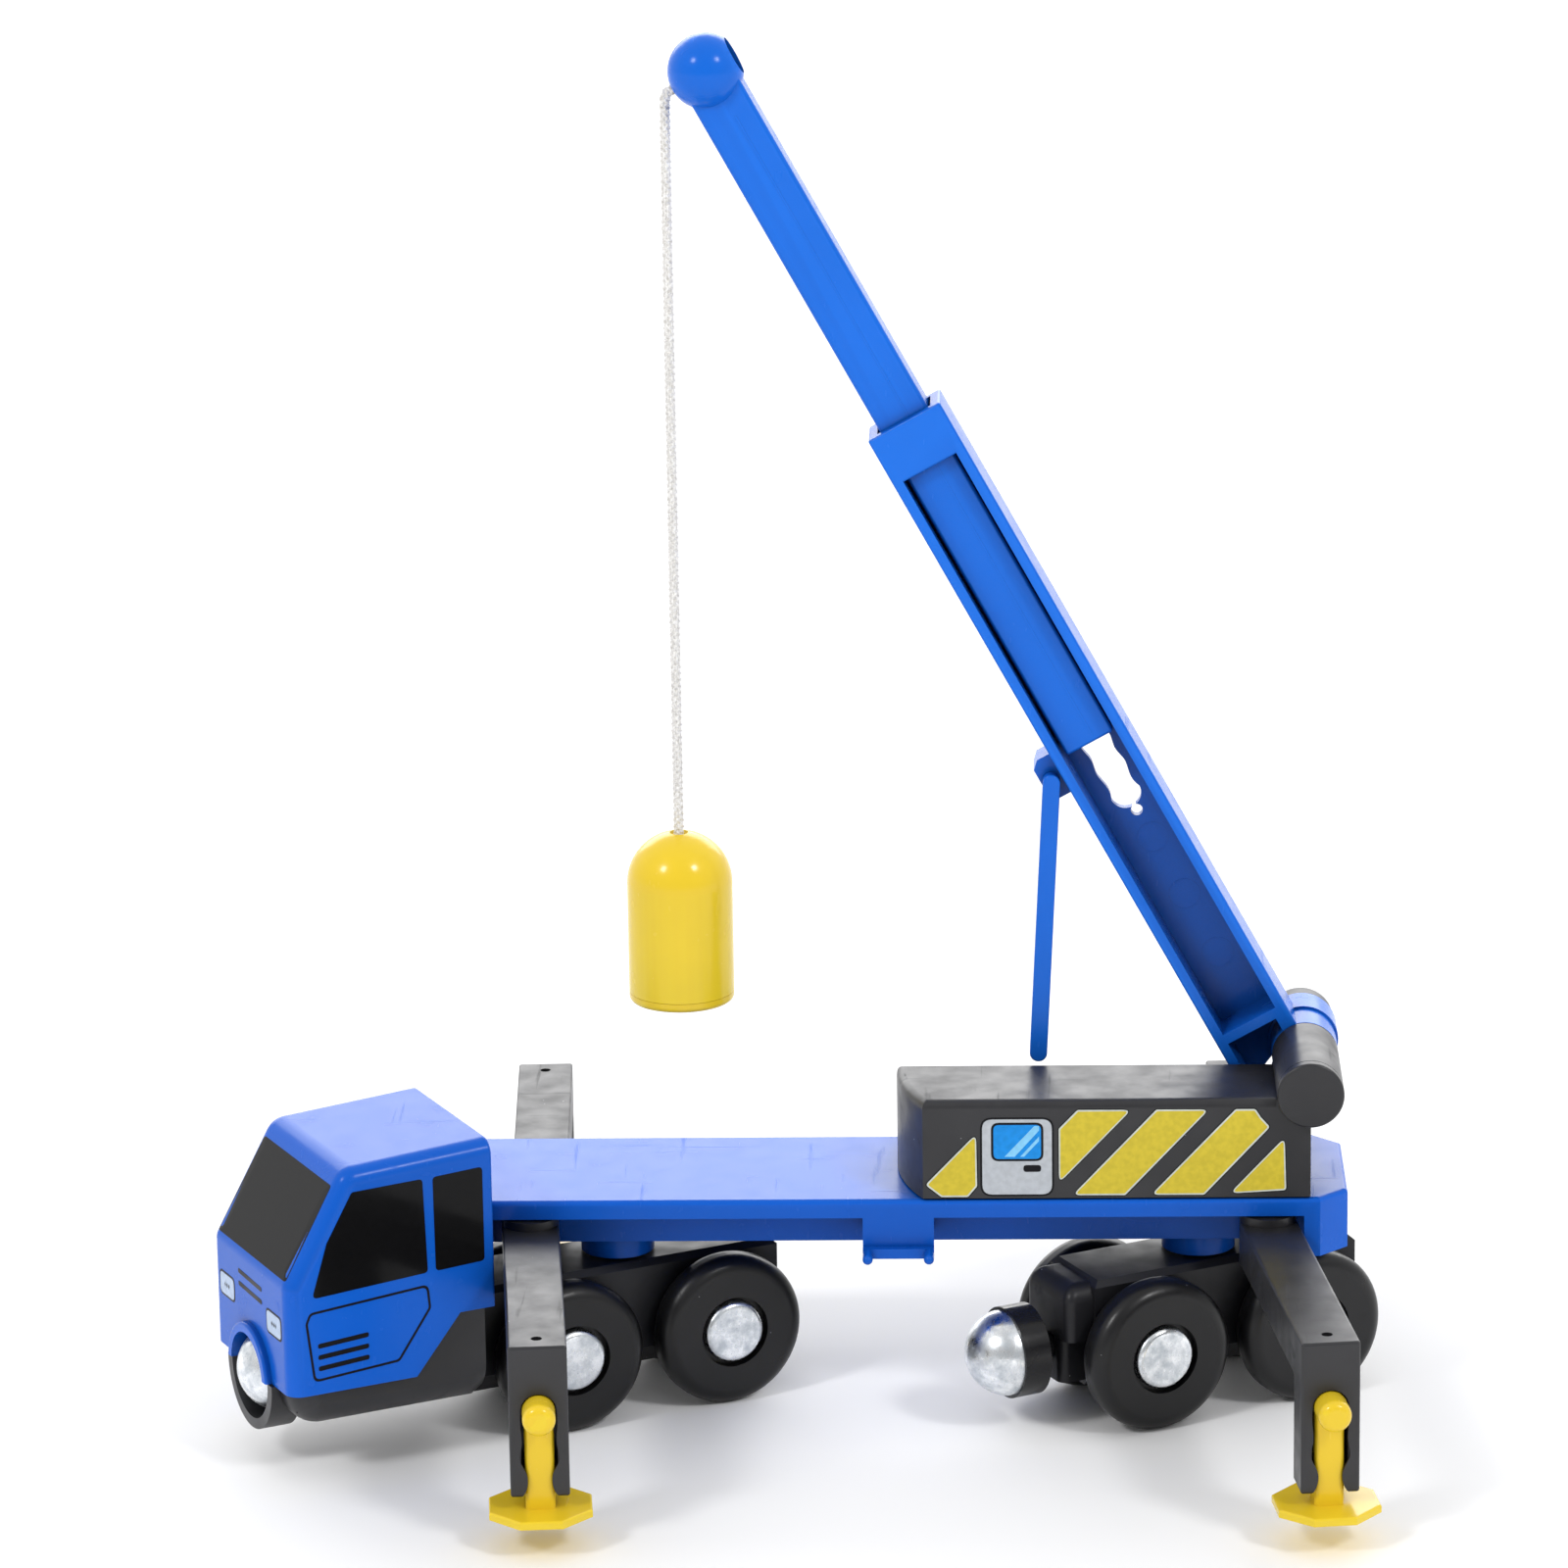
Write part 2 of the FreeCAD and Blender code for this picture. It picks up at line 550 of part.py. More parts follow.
def arm_shape():
    """Arm pointing along -Y from its pivot at the origin, with the leg at its end."""
    half = ARM_WIDTH / 2
    beam = box(-half, half, -ARM_LENGTH, 0, ARM_BOTTOM, ARM_TOP)
    root = rod(half, V(0, 0, ARM_BOTTOM), Z, ARM_COLLAR_TOP - ARM_BOTTOM)
    leg = box(-half, half, -ARM_LENGTH, -ARM_LENGTH + LEG_THICK, LEG_BOTTOM, ARM_TOP)
    body = softened(joined([beam, leg]), 0.35, lambda edge: edge.BoundBox.YMax < -5 or runs_along(edge, Y))
    body = joined([body, root])
    trough = box(-half + ARM_WALL, half - ARM_WALL, -ARM_LENGTH + LEG_THICK, -5.2, ARM_BOTTOM, ARM_TOP - ARM_WALL)
    bore = rod(PIVOT_RADIUS + RUNNING_GAP, V(0, 0, ARM_BOTTOM), Z, 9)
    sink = rod(ARM_SCREW_RADIUS + 0.3, V(0, 0, ARM_BOTTOM - 1), Z, 1 + ARM_SCREW_SEAT + RUNNING_GAP)
    dimple = rod(0.7, V(0, -ARM_LENGTH + 3.0, ARM_TOP - 0.5), Z, 1)
    return body.cut([trough, bore, sink, dimple] + leg_slot())


def leg_slot():
    """Arched slot that guides the foot, with waved lips at its outer face."""
    y0, y_lip, y1 = -ARM_LENGTH - 1, -ARM_LENGTH + SLOT_LIP, -ARM_LENGTH + SLOT_DEPTH
    left = [V(-x, y0, z) for x, z in SLOT_EDGE]
    right = [V(x, y0, z) for x, z in SLOT_EDGE]
    low = [left[-1], left[-1] - Z, right[-1] - Z, right[-1]]
    arch = Part.Arc(left[0], V(0, y0, GRIP_HEIGHT + SLOT_HALF), right[0]).toShape()
    sides = [smooth_curve(left), smooth_curve(right), arch]
    floor = [Part.makeLine(a, b) for a, b in zip(low, low[1:])]
    outline = Part.Face(Part.Wire(Part.__sortEdges__(sides + floor)))
    rear = box(-SLOT_HALF, SLOT_HALF, y_lip, y1, LEG_BOTTOM - 1, GRIP_HEIGHT)
    crown = rod(SLOT_HALF, V(0, y_lip, GRIP_HEIGHT), Y, y1 - y_lip)
    return [outline.extrude(Y * (y_lip - y0)), rear, crown]


def foot_shape():
    """Foot with a guided stem, a round finger grip and an eight-sided pad."""
    half = STEM_WIDTH / 2
    y_face = -ARM_LENGTH
    y_stem = y_face + SLOT_LIP + 0.1
    depth = y_face + SLOT_DEPTH - 0.25 - y_stem
    stem = box(-half, half, y_stem, y_stem + depth, PAD_BOTTOM + PAD_THICK, GRIP_HEIGHT)
    tip = rod(half, V(0, y_stem, GRIP_HEIGHT), Y, depth)
    stem = softened(stem, 0.6, lambda edge: runs_along(edge, Z) and edge.BoundBox.YMax < y_stem + 0.5)
    grip = rod(GRIP_RADIUS, V(0, y_face - GRIP_PROUD, GRIP_HEIGHT), Y, y_stem + depth - y_face + GRIP_PROUD)
    grip = softened(grip, GRIP_ROUND, lambda edge: edge.BoundBox.YMax < y_face - GRIP_PROUD + 0.01)
    centre = V(0, y_face + PAD_INSET, 0)
    corners = [(centre.x + PAD_RADIUS * math.cos(math.radians(22.5 + 45 * k)),
                centre.y + PAD_RADIUS * math.sin(math.radians(22.5 + 45 * k))) for k in range(8)]
    pad = prism(corners, PAD_BOTTOM, PAD_BOTTOM + PAD_THICK)
    pad = softened(pad, 0.3, lambda edge: at_height(edge, PAD_BOTTOM + PAD_THICK))
    return joined([stem, tip, grip, pad])


def on_arm(shape, arm):
    """Set an arm or foot at its pivot with its lean; near arms point to -Y, far arms to +Y."""
    moved = shape.copy()
    far = arm.startswith("far")
    moved.rotate(V(0, 0, 0), Z, (180 if far else 0) + ARM_LEANS[arm])
    moved.translate(arm_pivot(arm))
    return moved


# ---------------------------------------------------------------- crane housing

def housing_plan(far, inset=0.0):
    """Plan of the housing: round front about its middle line, square rear."""
    radius = HOUSING_RADIUS - inset
    near, far = HOUSING_NEAR + inset, far - inset
    rear = HOUSING_REAR - inset

    def front_x(y):
        return TURN_X - math.sqrt(radius ** 2 - (y - HOUSING_MIDLINE) ** 2)

    middle = (near + far) / 2
    ends = [V(front_x(near), near, 0), V(rear, near, 0), V(rear, far, 0), V(front_x(far), far, 0)]
    front = Part.Arc(ends[-1], V(front_x(middle), middle, 0), ends[0]).toShape()
    return Part.Face(Part.Wire([Part.makeLine(a, b) for a, b in zip(ends, ends[1:])] + [front]))


def crane_housing():
    floor = BED_TOP + HOUSING_LIFT
    base = slab(housing_plan(HOUSING_FAR), floor, floor + BASE_THICK)
    tower = slab(housing_plan(TOWER_FAR), floor, TOWER_TOP)
    tower = softened(tower, TOWER_EDGE, lambda edge: at_height(edge, TOWER_TOP))
    hollow = slab(housing_plan(TOWER_FAR, WALL), floor + BASE_THICK - 1.2, TOWER_TOP - WALL)
    barrel = rod(HINGE_RADIUS, V(HINGE_X, HOUSING_NEAR, HINGE_Z), Y, TOWER_FAR - HOUSING_NEAR)
    web = box(HINGE_X - HINGE_RADIUS, HOUSING_REAR, HOUSING_NEAR, TOWER_FAR, TOWER_TOP - 4, TOWER_TOP)
    post = rod(POST_RADIUS, V(TURN_X, 0, BED_TOP - BED_THICK - 1.4), Z, BED_THICK + 3)
    bore = rod(HINGE_PIN_RADIUS + 0.01, V(HINGE_X, HOUSING_NEAR - 1, HINGE_Z), Y, TOWER_FAR - HOUSING_NEAR + 2)
    tap = rod(SCREW_RADIUS, V(TURN_X, 0, BED_TOP - BED_THICK - 2), Z, 5.4)
    return joined([joined([base, tower]).cut(hollow), barrel, web, post]).cut([bore, tap])


def turntable_screw():
    return screw(V(TURN_X, 0, BED_TOP - BED_THICK - 1.4), POST_RADIUS + 0.6, 1.3, 4.6)


def hinge_pin():
    """Pin through the barrel and the boom's knuckle, with its flat near head."""
    head_thick = HOUSING_NEAR - 0.15 - DISC_NEAR
    head = rod(HINGE_RADIUS, V(HINGE_X, DISC_NEAR, HINGE_Z), Y, head_thick)
    head = softened(head, 0.35, lambda edge: edge.BoundBox.YMax < DISC_NEAR + 0.01)
    shank = rod(HINGE_PIN_RADIUS, V(HINGE_X, DISC_NEAR + 0.5, HINGE_Z), Y, DISC_FAR - DISC_NEAR - 1.2)
    return joined([head, shank])


def hinge_cap():
    start = KNUCKLE_FAR + 0.3
    cap = rod(HINGE_RADIUS, V(HINGE_X, start, HINGE_Z), Y, DISC_FAR - start)
    cap = softened(cap, 0.35, lambda edge: edge.BoundBox.YMin > DISC_FAR - 0.01)
    return cap.cut(rod(HINGE_PIN_RADIUS + 0.01, V(HINGE_X, 0, HINGE_Z), Y, DISC_FAR - 0.7))


# ---------------------------------------------------------------- boom

def along_boom(points, y0, y1):
    """Prism over an outline given as (distance along the boom, offset to its upper side)."""
    return side_prism([boom_xz(s, n) for s, n in points], y0, y1)


def boom_xz(s, n):
    angle = math.radians(BOOM_ANGLE)
    return (HINGE_X - s * math.cos(angle) + n * math.sin(angle),
            HINGE_Z + s * math.sin(angle) + n * math.cos(angle))


def boom_point(s, n, y):
    x, z = boom_xz(s, n)
    return V(x, y, z)


def boom_block(s0, s1, n0, n1, y0, y1):
    return along_boom([(s0, n0), (s1, n0), (s1, n1), (s0, n1)], y0, y1)


def detent_edge(side, y):
    """Waved edge of the detent slot on one side of its middle line."""
    points = []
    for k in range(2 * DETENT_COUNT):
        half = DETENT_WAIST if k % 2 else DETENT_BULGE
        points.append(boom_point(DETENT_FROM + k * DETENT_PITCH / 2, DETENT_MIDDLE + side * half, y))
    return points


def detent_slot():
    """Slot in the web with waved edges for the extension's stops, and a small round tip."""
    y0, y1 = BOOM_FAR - FLANGE - 1, BOOM_FAR + 1
    low, high = detent_edge(-1, y0), detent_edge(1, y0)
    foot = boom_point(DETENT_FROM - DETENT_BULGE, DETENT_MIDDLE, y0)
    head = boom_point(DETENT_FROM + (DETENT_COUNT - 0.5) * DETENT_PITCH + DETENT_WAIST, DETENT_MIDDLE, y0)
    edges = [smooth_curve(low), smooth_curve(high), Part.Arc(low[0], foot, high[0]).toShape(),
             Part.Arc(low[-1], head, high[-1]).toShape()]
    outline = Part.Face(Part.Wire(Part.__sortEdges__(edges)))
    tip = rod(DETENT_TIP_RADIUS, boom_point(DETENT_TIP, DETENT_MIDDLE + 0.2, y0), Y, y1 - y0)
    return [outline.extrude(Y * (y1 - y0)), tip]


def boom_channel():
    web_near = BOOM_FAR - FLANGE
    inner_low, inner_high = BOOM_LOW + FLANGE, BOOM_HIGH - FLANGE
    body = boom_block(END_WALL - 3.0, BOOM_LENGTH, BOOM_LOW, BOOM_HIGH, BOOM_NEAR, BOOM_FAR)
    body = softened(body, 0.3, lambda edge: True)
    trough = boom_block(END_WALL + FLANGE, BOOM_LENGTH + 1, inner_low, inner_high, BOOM_NEAR - 1, web_near)
    strap = boom_block(BOOM_LENGTH - COLLAR_LENGTH, BOOM_LENGTH, BOOM_LOW + 0.3, BOOM_HIGH - 0.3,
                       BOOM_NEAR, BOOM_NEAR + STRAP_THICK)
    strap = softened(strap, 0.3, lambda edge: edge.BoundBox.YMax < BOOM_NEAR + 0.01)
    foot_hollow = boom_block(-2.0, END_WALL, inner_low, BOOM_HIGH - 2.0, BOOM_NEAR - 1, web_near)
    knuckle = [rod(HINGE_RADIUS, boom_point(0, 0, BOOM_NEAR), Y, KNUCKLE_STEP - BOOM_NEAR),
               rod(HINGE_RADIUS + 0.3, boom_point(0, 0, KNUCKLE_STEP), Y, KNUCKLE_FAR - KNUCKLE_STEP)]
    root = along_boom([(0, -HINGE_RADIUS), (0, BOOM_HIGH - 0.4), (END_WALL, BOOM_HIGH - 0.4), (END_WALL, BOOM_LOW + 0.5),
                       (BOOM_FOOT + 0.5, BOOM_LOW + 0.5)], web_near, BOOM_FAR)
    heel = boom_block(BOOM_FOOT, END_WALL, BOOM_LOW, BOOM_LOW + FLANGE, BOOM_NEAR, BOOM_FAR)
    heel = softened(heel, 0.3, lambda edge: edge.BoundBox.YLength < 1e-3 or edge.BoundBox.ZMax < HINGE_Z - 7)
    lug_low = BOOM_LOW - LUG_DEPTH
    lug = along_boom([(LUG_FROM, BOOM_LOW + 0.5), (LUG_FROM, lug_low + 1.0), (LUG_FROM + 1.0, lug_low),
                      (LUG_TO - 1.0, lug_low), (LUG_TO, lug_low + 1.0), (LUG_TO, BOOM_LOW + 0.5)],
                     STRUT_FAR + 0.25, BOOM_FAR - 0.8)
    solids = [body.cut([trough, foot_hollow]), strap, root, heel, lug] + knuckle
    bore = rod(HINGE_PIN_RADIUS + RUNNING_GAP, V(HINGE_X, 0, HINGE_Z), Y, KNUCKLE_FAR + 2)
    pin_hole = rod(STRUT_PIN_RADIUS, boom_point(STRUT_AT, STRUT_OFFSET, STRUT_FAR), Y, 5.0)
    return joined(solids).cut([bore, pin_hole] + detent_slot())


def strut_pin():
    """Hidden pin that joins the lug and the strut."""
    return rod(STRUT_PIN_RADIUS, boom_point(STRUT_AT, STRUT_OFFSET, STRUT_BORE_FROM + 0.05), Y, 5.6)


def prop_strut():
    """Flat prop with round ends, hanging from its pin."""
    pivot = boom_point(STRUT_AT, STRUT_OFFSET, STRUT_NEAR)
    half, thick = STRUT_WIDTH / 2, STRUT_FAR - STRUT_NEAR
    bar = joined([box(-half, half, 0, thick, -STRUT_LENGTH, 0), rod(half, V(0, 0, 0), Y, thick),
                  rod(half, V(0, 0, -STRUT_LENGTH), Y, thick)])
    bar = softened(bar, 0.25, lambda edge: edge.BoundBox.YLength < 1e-3)
    bar = bar.cut(rod(STRUT_PIN_RADIUS + RUNNING_GAP, V(0, STRUT_BORE_FROM - STRUT_NEAR, 0), Y, thick))
    bar.rotate(V(0, 0, 0), Y, STRUT_LEAN)
    bar.translate(pivot)
    return bar


def upper_side():
    """Unit direction out of the boom's upper side."""
    angle = math.radians(BOOM_ANGLE)
    return V(math.sin(angle), 0, math.cos(angle))


def ball_centre():
    return boom_point(BALL_AT, (EXT_LOW + EXT_HIGH) / 2, (EXT_NEAR + EXT_FAR) / 2)


def boom_extension():
    bar = boom_block(EXT_FROM, BALL_AT - 2.0, EXT_LOW, EXT_HIGH, EXT_NEAR, EXT_FAR)
    bar = softened(bar, 0.5, lambda edge: True)
    ball = Part.makeSphere(BALL_RADIUS, ball_centre())
    peg = rod(PEG_RADIUS, boom_point(PEG_AT, (EXT_LOW + EXT_HIGH) / 2, EXT_FAR - 0.5), Y, 1.8)
    up = upper_side()
    hole = rod(CORD_HOLE_RADIUS, ball_centre() - up * (BALL_RADIUS + 1), up, 2 * BALL_RADIUS + 2)
    sink = rod(KNOT_BORE_RADIUS, ball_centre() + up * (BALL_RADIUS - KNOT_BORE_DEPTH), up, KNOT_BORE_DEPTH + 1)
    return joined([bar, ball, peg]).cut([hole, sink])


# ---------------------------------------------------------------- cord and load

def cord_exit():
    """Middle of the cord where it leaves the ball."""
    return ball_centre() - upper_side() * (BALL_RADIUS + 0.2)


def cord_bend():
    """Arc that turns the cord from the hole's slant to straight down: start, middle, end."""
    slant = math.radians(BOOM_ANGLE)
    start = cord_exit()
    centre = start + V(math.cos(slant), 0, -math.sin(slant)) * CORD_BEND
    middle_angle = math.radians(180) - (math.radians(90) - slant) / 2 - slant / 2
    first, last = start - centre, V(-CORD_BEND, 0, 0)
    middle = (first + last).normalize() * CORD_BEND
    return start, centre + middle, centre + last


def cord_anchor():
    """Cord inside the ball, from the knot to the bend below the outlet."""
    start, middle, end = cord_bend()
    top = ball_centre() + upper_side() * (BALL_RADIUS - KNOT_RADIUS)
    path = Part.Wire([Part.makeLine(top, start), Part.Arc(start, middle, end).toShape()])
    ring = Part.Wire(Part.makeCircle(CORD_RADIUS, top, start - top))
    tube = path.makePipeShell([ring], True, False)
    knot = Part.makeSphere(KNOT_RADIUS, ball_centre() + upper_side() * (BALL_RADIUS - KNOT_RADIUS + 0.3))
    return joined([tube, knot])


def swing_point():
    return cord_bend()[2] - Z * (CORD_RADIUS + 0.1)


def hoist_cord():
    """Straight run of the cord, rounded at the top about the axis it swings on."""
    top = swing_point()
    reach = 2 * CORD_RADIUS
    roller = rod(CORD_RADIUS, top - Y * reach, Y, 2 * reach).common(rod(CORD_RADIUS, top, Z, reach))
    return joined([roller, rod(CORD_RADIUS, top, -Z, CORD_RUN)])


def load_top():
    return swing_point() - Z * (CORD_RUN - 2.4)


def load_bell(radius, height, top):
    """Domed bell hanging from its top."""
    ball = Part.makeSphere(radius, top - Z * radius)
    return joined([ball, rod(radius, top - Z * height, Z, height - radius)])


def load_shell():
    top = load_top()
    bell = load_bell(LOAD_RADIUS, LOAD_HEIGHT - LOAD_CAP, top)
    inner = load_bell(LOAD_RADIUS - LOAD_WALL, LOAD_HEIGHT, top - Z * LOAD_WALL)
    dimple = Part.makeSphere(LOAD_DIMPLE, top + Z * 0.4)
    return bell.cut([inner, dimple, rod(CORD_RADIUS + 0.15, top - Z * 4, Z, 5)])


def load_cap():
    bottom = load_top() - Z * LOAD_HEIGHT
    rim = rod(LOAD_RADIUS, bottom, Z, LOAD_CAP - 0.05)
    rim = softened(rim, 0.7, lambda edge: at_height(edge, bottom.z))
    plug = rod(LOAD_RADIUS - LOAD_WALL - 0.05, bottom, Z, LOAD_CAP + 2.0)
    seat = rod(LOAD_MAGNET_RADIUS + 0.05, bottom + Z * 0.8, Z, LOAD_CAP + 2.0)
    return joined([rim, plug]).cut(seat)


def load_magnet():
    return rod(LOAD_MAGNET_RADIUS, load_top() - Z * (LOAD_HEIGHT - 0.8), Z, 3.0)


def load_knot():
    """Knot inside the shell that the end of the cord runs into."""
    knot = Part.makeSphere(KNOT_RADIUS - 0.3, load_top() - Z * (LOAD_WALL + 1.6))
    return knot.cut(rod(CORD_RADIUS, swing_point(), -Z, CORD_RUN))


# ---------------------------------------------------------------- whole truck

def save(node, shapes):
    solids = [solid for shape in shapes for solid in shape.Solids]
    whole = solids[0] if len(solids) == 1 else Part.makeCompound(solids)
    if not whole.isValid():
        raise ValueError(node + " is not a valid shape")
    whole.exportStep("parts/" + node + ".step")
    print(node, len(solids), "solid(s), volume %.1f mm3" % whole.Volume)


def save_bogie(name, pivot_x, yaw, front):
    def put(node, shapes):
        save(name + "_" + node, [placed(shape, yaw, pivot_x) for shape in shapes])

    put("bogie_upper_casing", [bogie_upper(front)])
    put("bogie_lower_casing", [bogie_lower(front)])
    for label, x in zip(("leading", "trailing"), axle_positions()):
        hub = V(x, 0, WHEEL_RADIUS)
        put(label + "_axle", [axle().translated(hub)])
        put(label + "_wheel_near", [wheel(-1).translated(hub)])
        put(label + "_wheel_far", [wheel(1).translated(hub)])
    if front:
        save("cab_shell", [placed(cab_shell(), yaw, pivot_x)])
        save("cab_base", [placed(cab_base(), yaw, pivot_x)])
        put("magnet_dome", [dome(FRONT_DOME_X, FRONT_DOME_Z)])
        put("magnet", [magnet_core(FRONT_DOME_X, FRONT_DOME_Z)])
    else:
        put("magnet_holder", [magnet_holder()])
        put("magnet_dome", [dome(HOLDER_FRONT, MAGNET_HEIGHT)])
        put("magnet", [magnet_core(HOLDER_FRONT, MAGNET_HEIGHT)])


def main():
    os.makedirs("parts", exist_ok=True)
    save("deck_bed", [deck_bed()])
    save("bogie_pivot_screws", bogie_pivot_screws())
    save("outrigger_pivot_screws", arm_pivot_screws())
    save_bogie("front", FRONT_PIVOT_X, FRONT_YAW, True)
    save_bogie("rear", REAR_PIVOT_X, REAR_YAW, False)
    for arm in ARM_LEANS:
        save("outrigger_arm_" + arm, [on_arm(arm_shape(), arm)])
        save("outrigger_foot_" + arm, [on_arm(foot_shape(), arm)])
    save("crane_housing", [crane_housing()])
    save("turntable_screw", [turntable_screw()])
    save("boom_hinge_pin", [hinge_pin()])
    save("boom_hinge_cap", [hinge_cap()])
    save("boom_channel", [boom_channel()])
    save("strut_pin", [strut_pin()])
    save("prop_strut", [prop_strut()])
    save("boom_extension", [boom_extension()])
    save("hoist_cord_anchor", [cord_anchor()])
    save("hoist_cord", [hoist_cord()])
    save("load_knot", [load_knot()])
    save("load_shell", [load_shell()])
    save("load_base_cap", [load_cap()])
    save("load_magnet", [load_magnet()])
    print("cord bend radius %.2f mm, straight run %.1f mm" % (CORD_BEND, CORD_RUN))
    for label, point in (("swing point", swing_point()), ("ball centre", ball_centre()), ("load top", load_top()),
                         ("strut pivot", boom_point(STRUT_AT, STRUT_OFFSET, STRUT_NEAR))):
        print(label, "%.3f %.3f %.3f" % (point.x, point.y, point.z))


main()
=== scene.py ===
import json
import math

import bmesh
import bpy
from mathutils import Matrix, Vector
from mathutils.bvhtree import BVHTree


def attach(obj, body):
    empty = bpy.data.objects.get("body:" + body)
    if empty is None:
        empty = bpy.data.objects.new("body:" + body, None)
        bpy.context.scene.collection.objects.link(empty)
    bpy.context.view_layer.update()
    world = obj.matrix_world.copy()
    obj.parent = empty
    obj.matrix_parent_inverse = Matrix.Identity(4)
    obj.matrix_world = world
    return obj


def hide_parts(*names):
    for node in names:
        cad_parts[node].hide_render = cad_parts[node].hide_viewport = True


# Looks of the toy crane truck. Lengths are in millimetres, turned into metres by MM, apart from those of
# the floor, the lights and the camera's clipping, which are in metres.

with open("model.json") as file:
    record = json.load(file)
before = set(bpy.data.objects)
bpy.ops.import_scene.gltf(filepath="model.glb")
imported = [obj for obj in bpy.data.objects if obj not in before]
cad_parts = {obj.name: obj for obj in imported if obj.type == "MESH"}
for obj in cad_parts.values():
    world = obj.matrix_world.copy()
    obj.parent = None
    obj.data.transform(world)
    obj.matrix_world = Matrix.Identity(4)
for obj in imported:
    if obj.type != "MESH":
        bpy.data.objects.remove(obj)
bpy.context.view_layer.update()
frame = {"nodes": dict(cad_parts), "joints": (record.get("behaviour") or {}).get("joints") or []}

MM = 0.001
NODES = frame["nodes"]
JOINTS = {joint["name"]: joint for joint in frame["joints"]}


# ---------------------------------------------------------------- camera, floor and light

CAMERA_AT = Vector((12.58, -859.18, 327.51)) * MM
CAMERA_YAW = math.radians(1.78)
CAMERA_DOWN = math.radians(15.92)
CAMERA_ROLL = math.radians(-0.88)
CAMERA_LENS = 161.26
SENSOR_WIDTH = 36.0
CLIP_NEAR, CLIP_FAR = 0.05, 20.0
FLOOR_SIZE = 6.0
FLOOR_COLOUR = (0.94, 0.94, 0.945, 1)
FLOOR_ROUGH = 0.9
FLOOR_GLOSS = 0.1
WORLD_FRONT = 0.42
WORLD_BACK = 1.26
LIGHT_AIM = Vector((0, 0, 0.06))
# Each softbox: place, width and height in metres, power in watts
SOFTBOXES = {"left_box": ((-1.5, -1.5, 1.84), 0.45, 0.45, 20.0),
             "right_box": ((1.5, -1.4, 1.94), 0.45, 0.45, 20.0),
             "back_box": ((0.0, 3.2, 1.44), 4.8, 1.8, 68.0)}


def link(obj):
    bpy.context.scene.collection.objects.link(obj)
    return obj


def make_camera():
    camera = link(bpy.data.objects.new("camera", bpy.data.cameras.new("camera")))
    turn = (Matrix.Rotation(CAMERA_YAW, 4, "Z") @ Matrix.Rotation(math.pi / 2 - CAMERA_DOWN, 4, "X")
            @ Matrix.Rotation(CAMERA_ROLL, 4, "Z"))
    camera.matrix_world = Matrix.Translation(CAMERA_AT) @ turn
    camera.data.lens = CAMERA_LENS
    camera.data.sensor_width = SENSOR_WIDTH
    camera.data.clip_start, camera.data.clip_end = CLIP_NEAR, CLIP_FAR
    bpy.context.scene.camera = camera


def make_floor():
    corners = [(-FLOOR_SIZE, -FLOOR_SIZE, 0), (FLOOR_SIZE, -FLOOR_SIZE, 0),
               (FLOOR_SIZE, FLOOR_SIZE, 0), (-FLOOR_SIZE, FLOOR_SIZE, 0)]
    mesh = bpy.data.meshes.new("floor")
    mesh.from_pydata(corners, [], [(0, 1, 2, 3)])
    floor = link(bpy.data.objects.new("floor", mesh))
    material = bpy.data.materials.new("floor")
    material.use_nodes = True
    shader = material.node_tree.nodes["Principled BSDF"]
    shader.inputs["Base Color"].default_value = FLOOR_COLOUR
    shader.inputs["Roughness"].default_value = FLOOR_ROUGH
    shader.inputs["Specular IOR Level"].default_value = FLOOR_GLOSS
    mesh.materials.append(material)


def make_world():
    """White surround, brighter behind the truck than in front of it."""
    world = bpy.data.worlds.new("studio")
    bpy.context.scene.world = world
    world.use_nodes = True
    tree = world.node_tree
    split = tree.nodes.new("ShaderNodeSeparateXYZ")
    tree.links.new(tree.nodes.new("ShaderNodeTexCoord").outputs["Generated"], split.inputs[0])
    depth = tree.nodes.new("ShaderNodeMapRange")
    tree.links.new(split.outputs["Y"], depth.inputs["Value"])
    limits = {"From Min": -1.0, "From Max": 1.0, "To Min": WORLD_FRONT, "To Max": WORLD_BACK}
    for socket, value in limits.items():
        depth.inputs[socket].default_value = value
    tree.nodes["Background"].inputs["Color"].default_value = (1, 1, 1, 1)
    tree.links.new(depth.outputs[0], tree.nodes["Background"].inputs["Strength"])


def make_lights():
    for name, (place, width, height, power) in SOFTBOXES.items():
        light = link(bpy.data.objects.new(name, bpy.data.lights.new(name, "AREA")))
        light.data.shape = "RECTANGLE"
        light.data.size, light.data.size_y = width, height
        light.data.energy = power
        light.location = place
        light.rotation_euler = (LIGHT_AIM - Vector(place)).to_track_quat("-Z", "Y").to_euler()
    bpy.context.scene.view_settings.view_transform = "Standard"


# ---------------------------------------------------------------- materials

# Sizes of the materials' details, as cells in a metre
FLOW_SCALE = 60
DUST_PATCH_SCALE = 90
TURNED_SCALE = 220
GLOSS_SCALE = 260
INK_GLOSS_SCALE = 300
TURNED_GLOSS_SCALE = 400
SPECK_SCALE = 420
CROSS_SCRATCH_SCALE = 700
SCRATCH_SCALE = 900
GRAIN_SCALE = 2600
ZINC_BLOTCH_SCALE = 520
ZINC_GRAIN_SCALE = 900
ZINC_SCALE = 1500
RING_SCALE = 1700
INK_DOT_SCALE = 1300
INK_GRAIN_SCALE = 1800
FIBRE_SCALE = 5200

